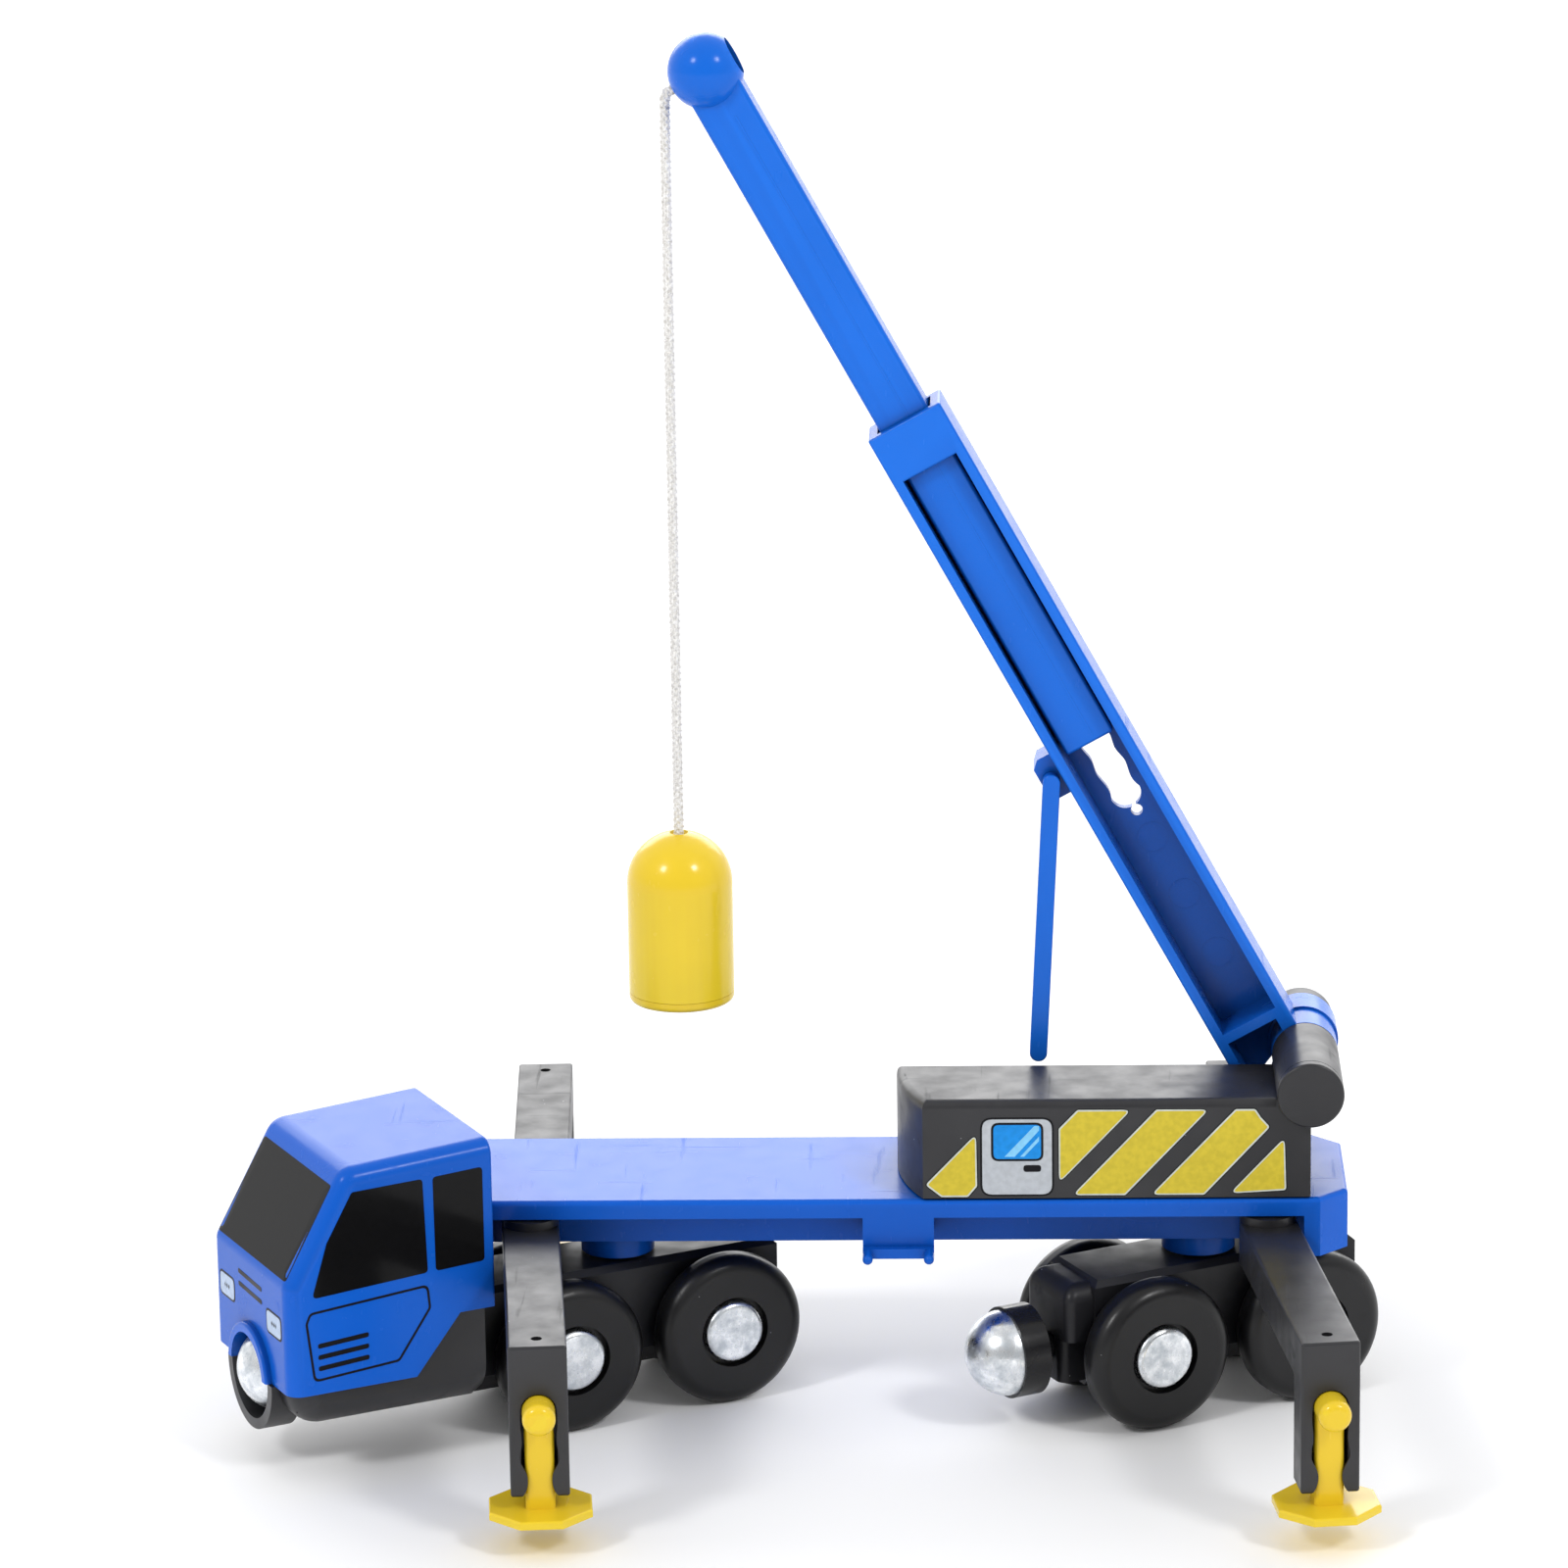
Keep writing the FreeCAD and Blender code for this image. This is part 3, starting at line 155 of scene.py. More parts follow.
# Other strengths and colours of the details; depths and reaches are in millimetres
NOISE_RANGE = (0.3, 0.7)
# Sharp edges are lightened partly as wear and partly as a painted edge highlight
WORN_LIT_FROM, WORN_LIT_TO = 0.52, 0.6
# Painted shade: ambient occlusion darkens the colour in recesses over this reach
RECESS_FROM, RECESS_TO = 0.2, 0.9
RECESS_REACH = 9.0
RECESS_SAMPLES = 4
SPECK_SIZE = 0.045
PIT_SIZE = 0.16
EDGE_LIGHTER = 1.7
SCRATCH_ROUGH = 0.12
SCRATCH_DEPTH = -0.6
GRAIN_DEPTH = 0.004
ZINC_DEPTH = 0.012
RING_DEPTH = 0.006
INK_DEPTH = 0.003
FIBRE_DEPTH = 0.03
DUST = (0.75, 0.76, 0.78)
ZINC_DARK, ZINC_LIGHT, ZINC_PIT = (0.56, 0.60, 0.64), (0.93, 0.95, 0.97), (0.22, 0.25, 0.28)
TURNED_DARK, TURNED_LIGHT = (0.006, 0.006, 0.007), (0.016, 0.016, 0.018)
FIBRE_DARK, FIBRE_LIGHT = (0.62, 0.60, 0.57), (0.92, 0.91, 0.89)


class Look:
    """Node material on one Principled shader, with small helpers to add detail."""

    def __init__(self, name, rough, metal=0.0, specular=0.5, coat=0.0):
        self.material = bpy.data.materials.new(name)
        self.material.use_nodes = True
        self.tree = self.material.node_tree
        self.shader = self.tree.nodes["Principled BSDF"]
        self.shader.inputs["Metallic"].default_value = metal
        self.shader.inputs["Roughness"].default_value = rough
        self.shader.inputs["Specular IOR Level"].default_value = specular
        self.shader.inputs["Coat Weight"].default_value = coat
        self.coordinates = self.tree.nodes.new("ShaderNodeTexCoord").outputs["Object"]

    def node(self, kind, **inputs):
        made = self.tree.nodes.new(kind)
        for key, value in inputs.items():
            self.feed(made.inputs[key.replace("_", " ")], value)
        return made

    def feed(self, socket, value):
        if isinstance(value, bpy.types.NodeSocket):
            self.tree.links.new(value, socket)
        else:
            socket.default_value = value

    def noise(self, scale, detail=3.0, stretch=(1, 1, 1), roughness=0.5):
        mapping = self.node("ShaderNodeMapping", Vector=self.coordinates, Scale=stretch)
        texture = self.node("ShaderNodeTexNoise", Vector=mapping.outputs[0], Scale=scale, Detail=detail,
                            Roughness=roughness)
        return texture.outputs["Fac"]

    def span(self, value, low, high, to_low=0.0, to_high=1.0):
        """Map a value range onto another, held at its ends."""
        node = self.node("ShaderNodeMapRange", Value=value, From_Min=low, From_Max=high, To_Min=to_low,
                         To_Max=to_high)
        return node.outputs[0]

    def combine(self, first, second, operation="ADD"):
        """Sum of two values, or another operation on them."""
        node = self.tree.nodes.new("ShaderNodeMath")
        node.operation = operation
        self.feed(node.inputs[0], first)
        self.feed(node.inputs[1], second)
        return node.outputs[0]

    def mix(self, factor, first, second):
        node = self.tree.nodes.new("ShaderNodeMix")
        node.data_type = "RGBA"
        self.feed(node.inputs["Factor"], factor)
        for socket, value in ((node.inputs[6], first), (node.inputs[7], second)):
            self.feed(socket, value if isinstance(value, bpy.types.NodeSocket) else (*value, 1))
        return node.outputs[2]

    def specks(self, scale, size):
        """Sparse small dots, 1 inside a dot."""
        cells = self.node("ShaderNodeTexVoronoi", Vector=self.coordinates, Scale=scale)
        return self.span(cells.outputs["Distance"], size, size * 0.6)

    def edges(self):
        """Sharp outer edges, lightened partly as wear and partly as a painted highlight; 1 on a sharp edge.
        """
        return self.span(self.node("ShaderNodeNewGeometry").outputs["Pointiness"], WORN_LIT_FROM, WORN_LIT_TO)

    def recess_shade_mask(self):
        """Mask for painted shade: 1 on open surfaces, falling to 0 inside a recess, where the colour is
        darkened.
        """
        found = self.node("ShaderNodeAmbientOcclusion", Distance=RECESS_REACH * MM)
        found.samples = RECESS_SAMPLES
        return self.span(found.outputs["AO"], RECESS_FROM, RECESS_TO)

    def bump(self, height, strength, distance):
        node = self.node("ShaderNodeBump", Height=height, Strength=strength, Distance=distance * MM)
        self.tree.links.new(node.outputs[0], self.shader.inputs["Normal"])

    def finish(self, colour=None, rough=None):
        if colour is not None:
            self.feed(self.shader.inputs["Base Color"], colour)
        if rough is not None:
            self.feed(self.shader.inputs["Roughness"], rough)
        return self.material


def shade(colour, factor):
    return tuple(min(1.0, channel * factor) for channel in colour)


def moulded(name, colour, rough, specular=0.5, coat=0.0, grain=0.15, edge_wear_and_highlight=0.25, dust=0.35, mottle=0.09,
            recess_shade=0.45):
    """Injection-moulded plastic: faint flow marks, fine scratches, dust, lighter edges (partly wear, partly
    a painted highlight) and painted shade that darkens recesses.
    """
    look = Look(name, rough, specular=specular, coat=coat)
    flow = look.span(look.noise(FLOW_SCALE), *NOISE_RANGE)
    base = look.mix(flow, shade(colour, 1 - mottle), shade(colour, 1 + mottle))
    # Lighter sharp edges: partly wear, partly a painted highlight
    base = look.mix(look.combine(look.edges(), edge_wear_and_highlight, "MULTIPLY"), base, shade(colour, EDGE_LIGHTER))
    # Painted shade: the colour is darkened in recesses by ambient occlusion
    base = look.mix(look.recess_shade_mask(), shade(colour, recess_shade), base)
    scratch = look.span(look.noise(SCRATCH_SCALE, 2, (1, 0.06, 0.35)), 0.66, 0.74)
    cross = look.span(look.noise(CROSS_SCRATCH_SCALE, 2, (0.08, 1, 0.5)), 0.68, 0.76)
    marks = look.combine(scratch, cross, "MAXIMUM")
    patches = look.span(look.noise(DUST_PATCH_SCALE), 0.5, 0.62)
    specks = look.combine(look.specks(SPECK_SCALE, SPECK_SIZE), patches, "MULTIPLY")
    base = look.mix(look.combine(specks, dust, "MULTIPLY"), base, DUST)
    gloss = look.span(look.noise(GLOSS_SCALE, 4), *NOISE_RANGE, rough * 0.82, rough * 1.2)
    finish = look.combine(gloss, look.combine(marks, SCRATCH_ROUGH, "MULTIPLY"))
    texture = look.noise(GRAIN_SCALE, 2)
    look.bump(look.combine(texture, look.combine(marks, SCRATCH_DEPTH, "MULTIPLY")), grain, GRAIN_DEPTH)
    return look.finish(base, finish)


def zinc(name):
    """Bright pressed steel, mottled by handling and finely scratched."""
    look = Look(name, 0.28, metal=1.0)
    blotch = look.span(look.noise(ZINC_BLOTCH_SCALE, 5, roughness=0.65), 0.36, 0.66)
    base = look.mix(blotch, ZINC_DARK, ZINC_LIGHT)
    pits = look.specks(ZINC_SCALE, PIT_SIZE)
    base = look.mix(look.combine(pits, 0.35, "MULTIPLY"), base, ZINC_PIT)
    scratch = look.span(look.noise(ZINC_SCALE, 2, (1, 0.08, 0.3)), 0.6, 0.72)
    rough = look.combine(look.span(blotch, 0, 1, 0.42, 0.16), look.combine(scratch, 0.18, "MULTIPLY"))
    grain = look.noise(ZINC_GRAIN_SCALE, 5)
    look.bump(look.combine(grain, look.combine(scratch, -0.5, "MULTIPLY")), 0.22, ZINC_DEPTH)
    return look.finish(base, rough)


def turned_black(name):
    """Glossy black plastic with fine rings left round its axis by the mould."""
    look = Look(name, 0.2, specular=0.25, coat=0.1)
    base = look.mix(look.noise(TURNED_SCALE), TURNED_DARK, TURNED_LIGHT)
    rings = look.noise(RING_SCALE, 2, (1, 0.55, 0.02))
    rough = look.span(look.noise(TURNED_GLOSS_SCALE, 4), *NOISE_RANGE, 0.14, 0.3)
    look.bump(rings, 0.3, RING_DEPTH)
    return look.finish(base, rough)


def fibre(name):
    """White braided yarn with a little soil between the strands."""
    look = Look(name, 0.85, specular=0.25)
    fuzz = look.noise(FIBRE_SCALE, 4, (1, 1, 0.25))
    base = look.mix(look.span(fuzz, 0.35, 0.65), FIBRE_DARK, FIBRE_LIGHT)
    look.shader.inputs["Sheen Weight"].default_value = 0.2
    look.bump(fuzz, 0.5, FIBRE_DEPTH)
    return look.finish(base, look.span(fuzz, *NOISE_RANGE, 0.75, 0.92))


def printed(name, colour, rough=0.3):
    """Ink or film on plastic, with fine dots where the ink is thin."""
    look = Look(name, rough, specular=0.14)
    thin = look.span(look.noise(INK_DOT_SCALE), 0.35, 0.65)
    base = look.mix(thin, shade(colour, 0.93), shade(colour, 1.06))
    look.bump(look.noise(INK_GRAIN_SCALE), 0.12, INK_DEPTH)
    return look.finish(base, look.span(look.noise(INK_GLOSS_SCALE), *NOISE_RANGE, rough * 0.8, rough * 1.25))


BLUE = (0.004, 0.10, 0.54)
# The boom's blue is a lighter copy of the body's blue, painted as if the boom caught more light
LIT_BOOM_BLUE = (0.006, 0.135, 0.66)
GREY = (0.022, 0.022, 0.025)
# The grey under the deck is a darker copy of the grey, painted shade for the bogie casings
SHADED_UNDER_GREY = (0.012, 0.012, 0.015)
YELLOW = (0.80, 0.56, 0.022)
TYRE_BLACK = (0.008, 0.008, 0.009)
MAGNET_GREY = (0.06, 0.06, 0.065)
LOOKS = {
    "blue_plastic": moulded("blue_body", BLUE, 0.23, specular=0.17, dust=0.04, mottle=0.04),
    # Boom: lighter blue, painted light
    "boom_blue": moulded("blue_boom_lit", LIT_BOOM_BLUE, 0.2, specular=0.2, dust=0.04, mottle=0.04, recess_shade=0.33),
    "grey_plastic": moulded("grey_body", GREY, 0.38, specular=0.45, grain=0.35, dust=0.5, mottle=0.14),
    # Bogie casings under the deck: darker grey, painted shade
    "dark_grey": moulded("grey_underside_shaded", SHADED_UNDER_GREY, 0.42, specular=0.3, grain=0.35, dust=0.4,
                         mottle=0.14),
    "yellow_plastic": moulded("yellow_body", YELLOW, 0.2, specular=0.35, coat=0.1, edge_wear_and_highlight=0.1, dust=0.0,
                              mottle=0.05, recess_shade=1.0),
    "black_wheel": moulded("wheel_black", TYRE_BLACK, 0.33, specular=0.35, grain=0.3, dust=0.5, edge_wear_and_highlight=0.15),
    "black_plastic": turned_black("holder_black"),
    "zinc_steel": zinc("zinc"),
    "magnet": moulded("magnet_black", MAGNET_GREY, 0.45, grain=0.5),
    "white_cord": fibre("cord_white"),
    "glass_print": printed("window_film", (0.0055, 0.0055, 0.006), 0.13),
    "line_print": printed("line_ink", (0.006, 0.006, 0.008), 0.35),
    "lamp_print": printed("lamp_ink", (0.45, 0.55, 0.72), 0.3),
    "rim_print": printed("rim_ink", (0.62, 0.66, 0.6), 0.3),
    "yellow_print": printed("stripe_ink", (0.64, 0.51, 0.045), 0.34),
    "door_print": printed("door_ink", (0.49, 0.52, 0.56), 0.34),
    "pane_print": printed("pane_ink", (0.012, 0.27, 0.76), 0.3),
    "pane_light": printed("pane_light_ink", (0.25, 0.62, 0.92), 0.3),
}
# Nodes that take the boom's lighter blue, painted light
BOOM_NODES = ("boom_channel", "boom_extension", "prop_strut", "strut_pin")
# Bogie casings under the deck, which take the darker grey as painted shade
UNDER_NODES = ("front_bogie_upper_casing", "front_bogie_lower_casing", "rear_bogie_upper_casing",
               "rear_bogie_lower_casing")


def dress_nodes():
    for name, node in NODES.items():
        for slot in node.material_slots:
            look = slot.material.name.split(".")[0]
            # The bogie casings under the deck get a darker grey, painted shade
            # The boom's nodes get a lighter blue, painted as if lit more
            look = "boom_blue" if name in BOOM_NODES else "dark_grey" if name in UNDER_NODES else look
            slot.material = LOOKS[look]


# ---------------------------------------------------------------- pieces

def finish_piece(obj, body, look):
    obj.data.materials.append(LOOKS[look])
    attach(obj, body)
    return obj


def mesh_piece(name, points, faces):
    mesh = bpy.data.meshes.new(name)
    mesh.from_pydata([tuple(point) for point in points], [], faces)
    mesh.update()
    for face in mesh.polygons:
        face.use_smooth = True
    return link(bpy.data.objects.new(name, mesh))


# Cord route, with the same points as its CAD tube
CORD_DIAMETER = 1.3
CORD_RUN = 96.6
CORD_TOP = Vector((-27.957, 6.850, 168.334))
CORD_ROUTE = [CORD_TOP, CORD_TOP - Vector((0, 0, 6 * CORD_DIAMETER)),
              CORD_TOP - Vector((0, 0, CORD_RUN - 6 * CORD_DIAMETER)), CORD_TOP - Vector((0, 0, CORD_RUN))]
ANCHOR_ROUTE = [Vector((-20.117, 6.850, 174.340)), Vector((-27.128, 6.850, 170.486)),
                Vector((-27.957, 6.850, 170.030)), Vector((-27.957, 6.850, 168.420))]
STRANDS = 8
STRAND_RADIUS = 0.2
BRAID_RADIUS = 0.46
BRAID_WAVE = 0.06
CORE_RADIUS = 0.5
CORE_SIDES = 10
STRAND_SIDES = 6
BRAID_PITCH = 3.4
BRAID_STEP = 0.22


def route_points(name, route):
    """Points along the smooth line that has the route's points as its control points."""
    curve = bpy.data.curves.new(name, "CURVE")
    curve.dimensions = "3D"
    curve.resolution_u = 32
    spline = curve.splines.new("NURBS")
    spline.points.add(len(route) - 1)
    for place, point in zip(spline.points, route):
        place.co = (*(point * MM), 1.0)
    spline.order_u = 3
    spline.use_endpoint_u = True
    holder = bpy.data.objects.new(name, curve)
    mesh = bpy.data.meshes.new_from_object(holder)
    points = [vertex.co.copy() for vertex in mesh.vertices]
    bpy.data.objects.remove(holder)
    bpy.data.curves.remove(curve)
    bpy.data.meshes.remove(mesh)
    return points


def walk(points, step):
    """Evenly spaced places along a line of points."""
    total = sum((b - a).length for a, b in zip(points, points[1:]))
    count = max(8, round(total / step))
    places, done, index = [], 0.0, 0
    for k in range(count + 1):
        want = total * k / count
        while index < len(points) - 2 and done + (points[index + 1] - points[index]).length < want:
            done += (points[index + 1] - points[index]).length
            index += 1
        a, b = points[index], points[index + 1]
        places.append(a.lerp(b, min(1.0, (want - done) / (b - a).length)))
    return places


def tube(places, radius_at, sides):
    """Vertices and faces of a closed tube; radius_at gives its radius at each place."""
    points, faces = [], []
    side = Vector((0, 1, 0))
    for k, place in enumerate(places):
        ahead = (places[min(k + 1, len(places) - 1)] - places[max(k - 1, 0)]).normalized()
        across = ahead.cross(side).normalized()
        side = across.cross(ahead).normalized()
        for n in range(sides):
            angle = 2 * math.pi * n / sides
            points.append(place + (across * math.cos(angle) + side * math.sin(angle)) * radius_at(k))
    for k in range(len(places) - 1):
        for n in range(sides):
            low, high = k * sides, (k + 1) * sides
            faces.append((low + n, low + (n + 1) % sides, high + (n + 1) % sides, high + n))
    faces.append(tuple(reversed(range(sides))))
    faces.append(tuple(range(len(points) - sides, len(points))))
    return points, faces


def rope(name, line):
    """Braided cord along a line: a core and strands that cross over and under each other."""
    places = walk(line, BRAID_STEP * MM)
    points, faces = tube(places, lambda k: CORE_RADIUS * MM, CORE_SIDES)
    for strand in range(STRANDS):
        turn = 1 if strand % 2 else -1
        start = 2 * math.pi * (strand // 2) / (STRANDS / 2)
        path = []
        for k, place in enumerate(places):
            ahead = (places[min(k + 1, len(places) - 1)] - places[max(k - 1, 0)]).normalized()
            across = ahead.cross(Vector((0, 1, 0))).normalized()
            side = across.cross(ahead)
            angle = turn * 2 * math.pi * (k * BRAID_STEP / BRAID_PITCH) + start
            wave = math.cos(STRANDS / 2 * angle * turn + (0 if turn > 0 else math.pi))
            reach = (BRAID_RADIUS + BRAID_WAVE * wave) * MM
            path.append(place + (across * math.cos(angle) + side * math.sin(angle)) * reach)
        more, quads = tube(path, lambda k: STRAND_RADIUS * MM, STRAND_SIDES)
        faces += [tuple(index + len(points) for index in face) for face in quads]
        points += more
    return mesh_piece(name, points, faces)


def make_cord():
    line = route_points("cord_route", CORD_ROUTE)
    cord = finish_piece(rope("hoist_rope", line), "load", "white_cord")
    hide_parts("hoist_cord")
    anchor = rope("hoist_rope_anchor", route_points("anchor_route", ANCHOR_ROUTE))
    finish_piece(anchor, "extension", "white_cord")
    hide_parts("hoist_cord_anchor")


make_camera()
make_cord()
make_floor()
make_world()
make_lights()
dress_nodes()


# ---------------------------------------------------------------- printed and moulded marks

FRONT_YAW = math.radians(27.5)
CAB_HALF_WIDTH = 12.8
CAB_FRONT = 51.2
SCREEN_FOOT = (-51.2, 26.9)
SCREEN_HEAD = (-42.9, 41.2)
HOUSING_NEAR = -12.8
HOUSING_FAR = 2.6
BOOM_ANGLE = math.radians(61.2)
FILM = 0.03
# Heights of printed layers that lie on others, in films
LAYER_FIRST, LAYER_STEP = 0.7, 0.8
LAMP_LAYER, LAMP_DOT_LAYER = 1.6, 2.4
PANE_LAYER, GLINT_LAYER = 2.3, 4.1
EMBED = 0.12
RAY_FROM = 4.0
RAY_REACH = 9.0
VENT_THICK = 0.62
VENT_CORNER = 0.3
LINE_WIDTH = 0.3
WINDOW_CORNER = 0.55
SCREEN_CORNER = 0.5
LAMP_CORNER = 0.7
LAMP_RIM = 0.28
LAMP_RIM_CORNER = 0.9
DOOR_LINE_CORNER = 0.9
DOOR_LINE_INNER_CORNER = 0.7
STRIPE_CORNER = 0.35
DOOR_CORNER = 1.3
PANE_CORNER = 0.7
HANDLE_CORNER = 0.42
LEAST_CORNER = 0.1
DOT_STEP = 0.62
DOT_CORNERS = ((0.2, 0), (0, 0.34), (-0.2, 0), (0, -0.34))
BOOM_WEB = 9.55
BAR_SIDE = 4.35
CELL = 1.4


def plane_matrix(origin, right, up):
    """Millimetre drawing plane: x runs along right, y along up, z out of the surface."""
    right, up = Vector(right).normalized(), Vector(up).normalized()
    columns = Matrix((right, up, right.cross(up))).transposed().to_4x4()
    return Matrix.Translation(Vector(origin)) @ columns


def cab_frame():
    pivot = Vector(JOINTS["cab_steer"]["pos_m"])
    pivot.z = 0.0
    return Matrix.Translation(pivot) @ Matrix.Rotation(FRONT_YAW, 4, "Z") @ Matrix.Scale(MM, 4)


SCALE = Matrix.Scale(MM, 4)
SCREEN_SLOPE = (SCREEN_HEAD[0] - SCREEN_FOOT[0], 0, SCREEN_HEAD[1] - SCREEN_FOOT[1])
HINGE = Vector(JOINTS["boom_lift"]["pos_m"]) / MM
ALONG_BOOM = (-math.cos(BOOM_ANGLE), 0, math.sin(BOOM_ANGLE))
BOOM_UPPER = (math.sin(BOOM_ANGLE), 0, math.cos(BOOM_ANGLE))
PLANES = {
    "cab_near": cab_frame() @ plane_matrix((0, -CAB_HALF_WIDTH, 0), (1, 0, 0), (0, 0, 1)),
    "cab_far": cab_frame() @ plane_matrix((0, CAB_HALF_WIDTH, 0), (-1, 0, 0), (0, 0, 1)),
    "cab_front": cab_frame() @ plane_matrix((-CAB_FRONT, 0, 0), (0, -1, 0), (0, 0, 1)),
    "screen": cab_frame() @ plane_matrix((SCREEN_FOOT[0], 0, SCREEN_FOOT[1]), (0, -1, 0), SCREEN_SLOPE),
    "housing_near": SCALE @ plane_matrix((0, HOUSING_NEAR, 0), (1, 0, 0), (0, 0, 1)),
    "housing_far": SCALE @ plane_matrix((0, HOUSING_FAR, 0), (-1, 0, 0), (0, 0, 1)),
    "boom": SCALE @ plane_matrix((HINGE.x, BOOM_WEB, HINGE.z), BOOM_UPPER, ALONG_BOOM),
    "extension": SCALE @ plane_matrix((HINGE.x, BAR_SIDE, HINGE.z), BOOM_UPPER, ALONG_BOOM),
}


def host_tree(node):
    mesh = NODES[node].data
    return BVHTree.FromPolygons([v.co for v in mesh.vertices], [tuple(p.vertices) for p in mesh.polygons])


TREES = {node: host_tree(node) for node in ("cab_shell", "crane_housing", "boom_channel", "boom_extension")}


def anticlockwise(points):
    area = sum(a.x * b.y - b.x * a.y for a, b in zip(points, points[1:] + points[:1]))
    return points if area > 0 else points[::-1]


def grown(points, reach):
    """Outline moved outwards."""
    moved = []
    for before, corner, after in zip(points[-1:] + points[:-1], points, points[1:] + points[:1]):
        first, second = (corner - before).normalized(), (after - corner).normalized()
        normal = Vector((first.y, -first.x))
        middle = (normal + Vector((second.y, -second.x))).normalized()
        moved.append(corner + middle * reach / max(0.5, middle.dot(normal)))
    return moved


def rounded(points, radius, steps=5):
    """Outline with its corners turned into short curves."""
    result = []
    for before, corner, after in zip(points[-1:] + points[:-1], points, points[1:] + points[:1]):
        back, on = before - corner, after - corner
        reach = min(radius / math.tan(back.angle(on) / 2), 0.45 * back.length, 0.45 * on.length)
        start, end = corner + back.normalized() * reach, corner + on.normalized() * reach
        for k in range(steps + 1):
            t = k / steps
            result.append(start * (1 - t) ** 2 + corner * 2 * t * (1 - t) + end * t ** 2)
    return result


def settle(shape, plane, tree, lift):
    """Lay a flat drawing onto the host's surface."""
    out = (plane.to_3x3() @ Vector((0, 0, 1))).normalized()
    for vertex in shape.verts:
        start = plane @ Vector((vertex.co.x, vertex.co.y, RAY_FROM))
        hit = tree.ray_cast(start, -out, RAY_REACH * MM)
        flat = plane @ Vector((vertex.co.x, vertex.co.y, 0.0))
        vertex.co = (hit[0] if hit[0] else flat) + out * lift * MM


def drawing(outline, hole=None):
    """Flat mesh inside an outline, or between an outline and a hole with as many points."""
    shape = bmesh.new()
    outer = [shape.verts.new((p.x, p.y, 0)) for p in outline]
    if hole:
        inner = [shape.verts.new((p.x, p.y, 0)) for p in hole]
        for k in range(len(outer)):
            n = (k + 1) % len(outer)
            shape.faces.new((outer[k], outer[n], inner[n], inner[k]))
        return shape
    shape.faces.new(outer)
    for axis in (0, 1):
        low, high = min(p[axis] for p in outline), max(p[axis] for p in outline)
        count = int((high - low) / CELL)
        normal = Vector((1 - axis, axis, 0))
        for k in range(1, count + 1):
            at = normal * (low + (high - low) * k / (count + 1))
            everything = shape.verts[:] + shape.edges[:] + shape.faces[:]
            bmesh.ops.bisect_plane(shape, geom=everything, plane_co=at, plane_no=normal)
    bmesh.ops.triangulate(shape, faces=shape.faces[:])
    return shape


def mark(name, shape, plane, host, body, look, lift=FILM):
    """Thin film of a drawing on its host, as a closed solid."""
    settle(shape, PLANES[plane], TREES[host], lift)
    mesh = bpy.data.meshes.new(name)
    shape.to_mesh(mesh)
    shape.free()
    piece = link(bpy.data.objects.new(name, mesh))
    shell = piece.modifiers.new("film", "SOLIDIFY")
    shell.thickness, shell.offset = (lift + EMBED) * MM, -1.0
    return finish_piece(piece, body, look)


def outline_of(pairs):
    return anticlockwise([Vector(pair) for pair in pairs])


def flipped(pairs):
    return [(-x, z) for x, z in pairs]


SIDE_WINDOWS = {"front_window": [(-42.1, 38.4), (-32.5, 38.6), (-32.1, 26.1), (-47.9, 25.2), (-45.7, 32.2)],
                "rear_window": [(-31.1, 38.6), (-24.3, 38.9), (-24.3, 26.4), (-31.0, 26.1)]}
DOOR_LINE = [(-48.3, 23.4), (-32.1, 24.5), (-31.8, 21.3), (-36.3, 14.9), (-48.0, 14.1), (-48.9, 22.0)]
VENT_ROWS = (18.8, 17.3, 15.8)
VENT_RUN = (-47.3, -40.4)
VENT_RISE = 0.45
SCREEN_OUTLINE = [(-11.3, 0.7), (11.3, 0.7), (11.1, 14.1), (-11.1, 14.1)]
LAMPS = {"near": [(5.6, 22.2), (10.2, 22.2), (10.2, 19.4), (5.6, 19.4)],
         "far": [(-10.2, 22.4), (-5.6, 22.4), (-5.6, 19.6), (-10.2, 19.6)]}
GRILLE_ROWS = (24.3, 22.6)
GRILLE_RUN = (-3.9, 4.0)
GRILLE_TILT = 0.1


def bar_outline(x0, x1, z0, z1, thick):
    half = thick / 2
    return outline_of([(x0, z0 - half), (x1, z1 - half), (x1, z1 + half), (x0, z0 + half)])


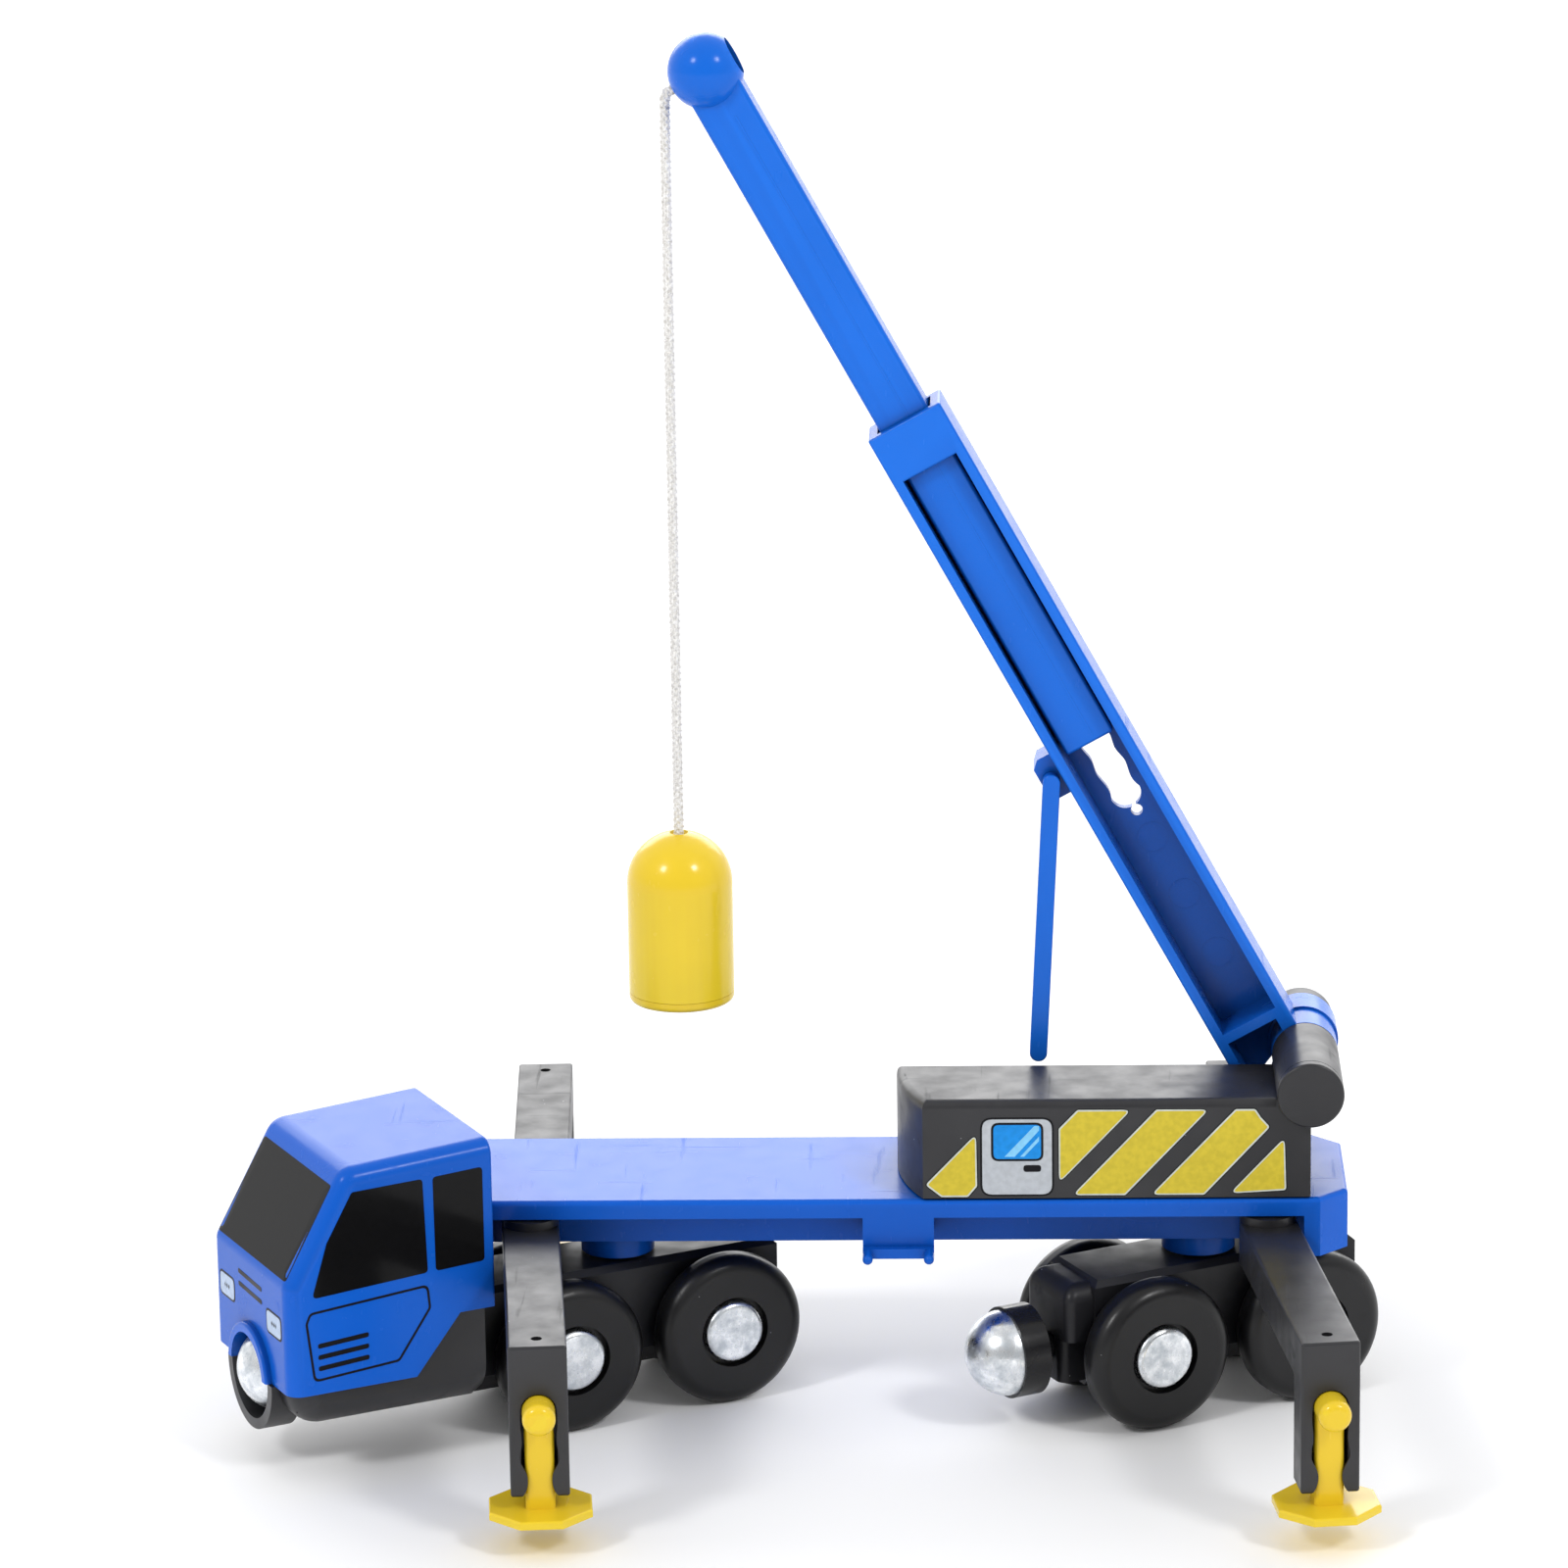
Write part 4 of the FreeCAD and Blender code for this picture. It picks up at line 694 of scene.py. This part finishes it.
def make_cab_marks():
    host, body = "cab_shell", "front_bogie"
    for side, turn in (("near", lambda pairs: pairs), ("far", flipped)):
        plane = "cab_" + side
        for label, pairs in SIDE_WINDOWS.items():
            outline = rounded(outline_of(turn(pairs)), WINDOW_CORNER)
            mark(f"cab_{label}_{side}", drawing(outline), plane, host, body, "glass_print")
        outer = rounded(outline_of(turn(DOOR_LINE)), DOOR_LINE_CORNER)
        inner = rounded(grown(outline_of(turn(DOOR_LINE)), -LINE_WIDTH), DOOR_LINE_INNER_CORNER)
        mark(f"cab_door_line_{side}", drawing(outer, inner), plane, host, body,
             "line_print")
        for k, height in enumerate(VENT_ROWS):
            ends = turn([(VENT_RUN[0], height), (VENT_RUN[1], height + VENT_RISE)])
            row = bar_outline(ends[0][0], ends[1][0], ends[0][1], ends[1][1], VENT_THICK)
            mark(f"cab_vent_{side}_{k}", drawing(rounded(anticlockwise(row), VENT_CORNER)), plane, host,
                 body, "line_print")
        lamp = outline_of(LAMPS[side])
        mark(f"lamp_rim_{side}", drawing(rounded(grown(lamp, LAMP_RIM), LAMP_RIM_CORNER)), "cab_front",
             host, body, "line_print", FILM * LAYER_FIRST)
        mark(f"lamp_{side}", drawing(rounded(lamp, LAMP_CORNER)), "cab_front", host, body,
             "lamp_print", FILM * LAMP_LAYER)
        centre = sum(lamp, Vector((0, 0))) / len(lamp)
        for k in (-1, 0, 1):
            dot = [centre + Vector((DOT_STEP * k + dx, dy)) for dx, dy in DOT_CORNERS]
            mark(f"lamp_dot_{side}_{k + 1}", drawing(anticlockwise(dot)), "cab_front", host, body,
                 "line_print", FILM * LAMP_DOT_LAYER)
    mark("cab_windscreen", drawing(rounded(outline_of(SCREEN_OUTLINE), SCREEN_CORNER)), "screen", host, body,
         "glass_print")
    for k, height in enumerate(GRILLE_ROWS):
        bar = bar_outline(*GRILLE_RUN, height + GRILLE_TILT, height - GRILLE_TILT, VENT_THICK)
        bar = rounded(bar, VENT_CORNER)
        mark(f"cab_grille_{k}", drawing(bar), "cab_front", host, body, "line_print")


STRIPES = {
    "stripe_1": [(3.65, 32.76), (9.93, 39.39), (10.0, 32.58), (8.88, 31.2), (5.57, 31.2)],
    "stripe_2": [(20.6, 40.14), (22.93, 42.6), (29.55, 42.6), (20.6, 33.1)],
    "stripe_3": [(22.4, 31.35), (32.94, 42.6), (39.4, 42.6), (28.9, 31.35)],
    "stripe_4": [(32.4, 31.35), (42.98, 42.6), (45.4, 42.6), (46.1, 41.5), (47.18, 40.3), (38.94, 31.35)],
    "stripe_5": [(42.4, 31.5), (49.1, 38.7), (49.3, 31.9)],
}
DOOR_PANEL = [(10.75, 31.4), (19.65, 31.4), (19.65, 41.5), (10.75, 41.5)]
DOOR_PANE = [(12.2, 36.2), (18.25, 36.2), (18.25, 40.75), (12.2, 40.75)]
PANE_GLINTS = [[(13.6, 36.5), (14.9, 36.5), (18.0, 40.0), (18.0, 40.6), (17.4, 40.6)],
               [(15.6, 36.5), (16.1, 36.5), (18.0, 38.6), (18.0, 39.2)]]
DOOR_HANDLE = [(16.0, 34.45), (18.25, 34.45), (18.25, 35.35), (16.0, 35.35)]


def layered(name, pairs, radius, layers, plane, host, body):
    """Printed shape in layers from the widest up; each layer is (growth, slot, look)."""
    for k, (growth, slot, look) in enumerate(layers):
        outline = rounded(grown(outline_of(pairs), growth), max(LEAST_CORNER, radius + growth))
        lift = FILM * (LAYER_FIRST + LAYER_STEP * k)
        mark(f"{name}_{look}", drawing(outline), plane, host, body, look, lift)


def make_housing_marks():
    host, body = "crane_housing", "crane"
    ink = (0.24, "black_plastic", "line_print")
    for side, turn in (("near", lambda pairs: pairs), ("far", flipped)):
        plane = "housing_" + side
        for label, pairs in STRIPES.items():
            layers = [ink, (0.1, "grey_plastic", "rim_print"), (-0.12, "yellow_plastic", "yellow_print")]
            layered(f"{label}_{side}", turn(pairs), STRIPE_CORNER, layers, plane, host, body)
        door = [ink, (-0.02, "grey_plastic", "door_print")]
        layered("door_" + side, turn(DOOR_PANEL), DOOR_CORNER, door, plane, host, body)
        pane = [(0.3, "black_plastic", "line_print"), (0.0, "blue_plastic", "pane_print")]
        for k, (growth, slot, look) in enumerate(pane):
            outline = rounded(grown(outline_of(turn(DOOR_PANE)), growth), PANE_CORNER + growth)
            mark(f"door_pane_{side}_{look}", drawing(outline), plane, host, body, look,
                 FILM * (PANE_LAYER + k))
        for k, pairs in enumerate(PANE_GLINTS):
            mark(f"door_glint_{side}_{k}", drawing(outline_of(turn(pairs))), plane, host, body,
                 "pane_light", FILM * GLINT_LAYER)
        handle = rounded(outline_of(turn(DOOR_HANDLE)), HANDLE_CORNER)
        mark(f"door_handle_{side}", drawing(handle), plane, host, body, "line_print",
             FILM * PANE_LAYER)


RING_CENTRES = ((-3.86, 33.3), (-3.95, 24.6), (-4.0, 15.6))
RING_OUTER, RING_INNER = 2.03, 1.93
PARTING_LINE = [(-3.55, 50.2), (-3.35, 50.2), (-3.35, 142.0), (-3.55, 142.0)]


def circle(centre, radius, count=40):
    turns = [2 * math.pi * k / count for k in range(count)]
    return [Vector(centre) + Vector((math.cos(turn), math.sin(turn))) * radius for turn in turns]


def make_boom_marks():
    """Faint ejector rings in the channel and the parting line of the inner bar."""
    for k, centre in enumerate(RING_CENTRES):
        ring = drawing(circle(centre, RING_OUTER), circle(centre, RING_INNER))
        mark(f"ejector_ring_{k}", ring, "boom", "boom_channel", "boom", "boom_blue")
    line = [Vector(corner) for corner in PARTING_LINE]
    mark("parting_line", drawing(line), "extension", "boom_extension", "extension",
         "boom_blue")


make_cab_marks()
make_housing_marks()
make_boom_marks()
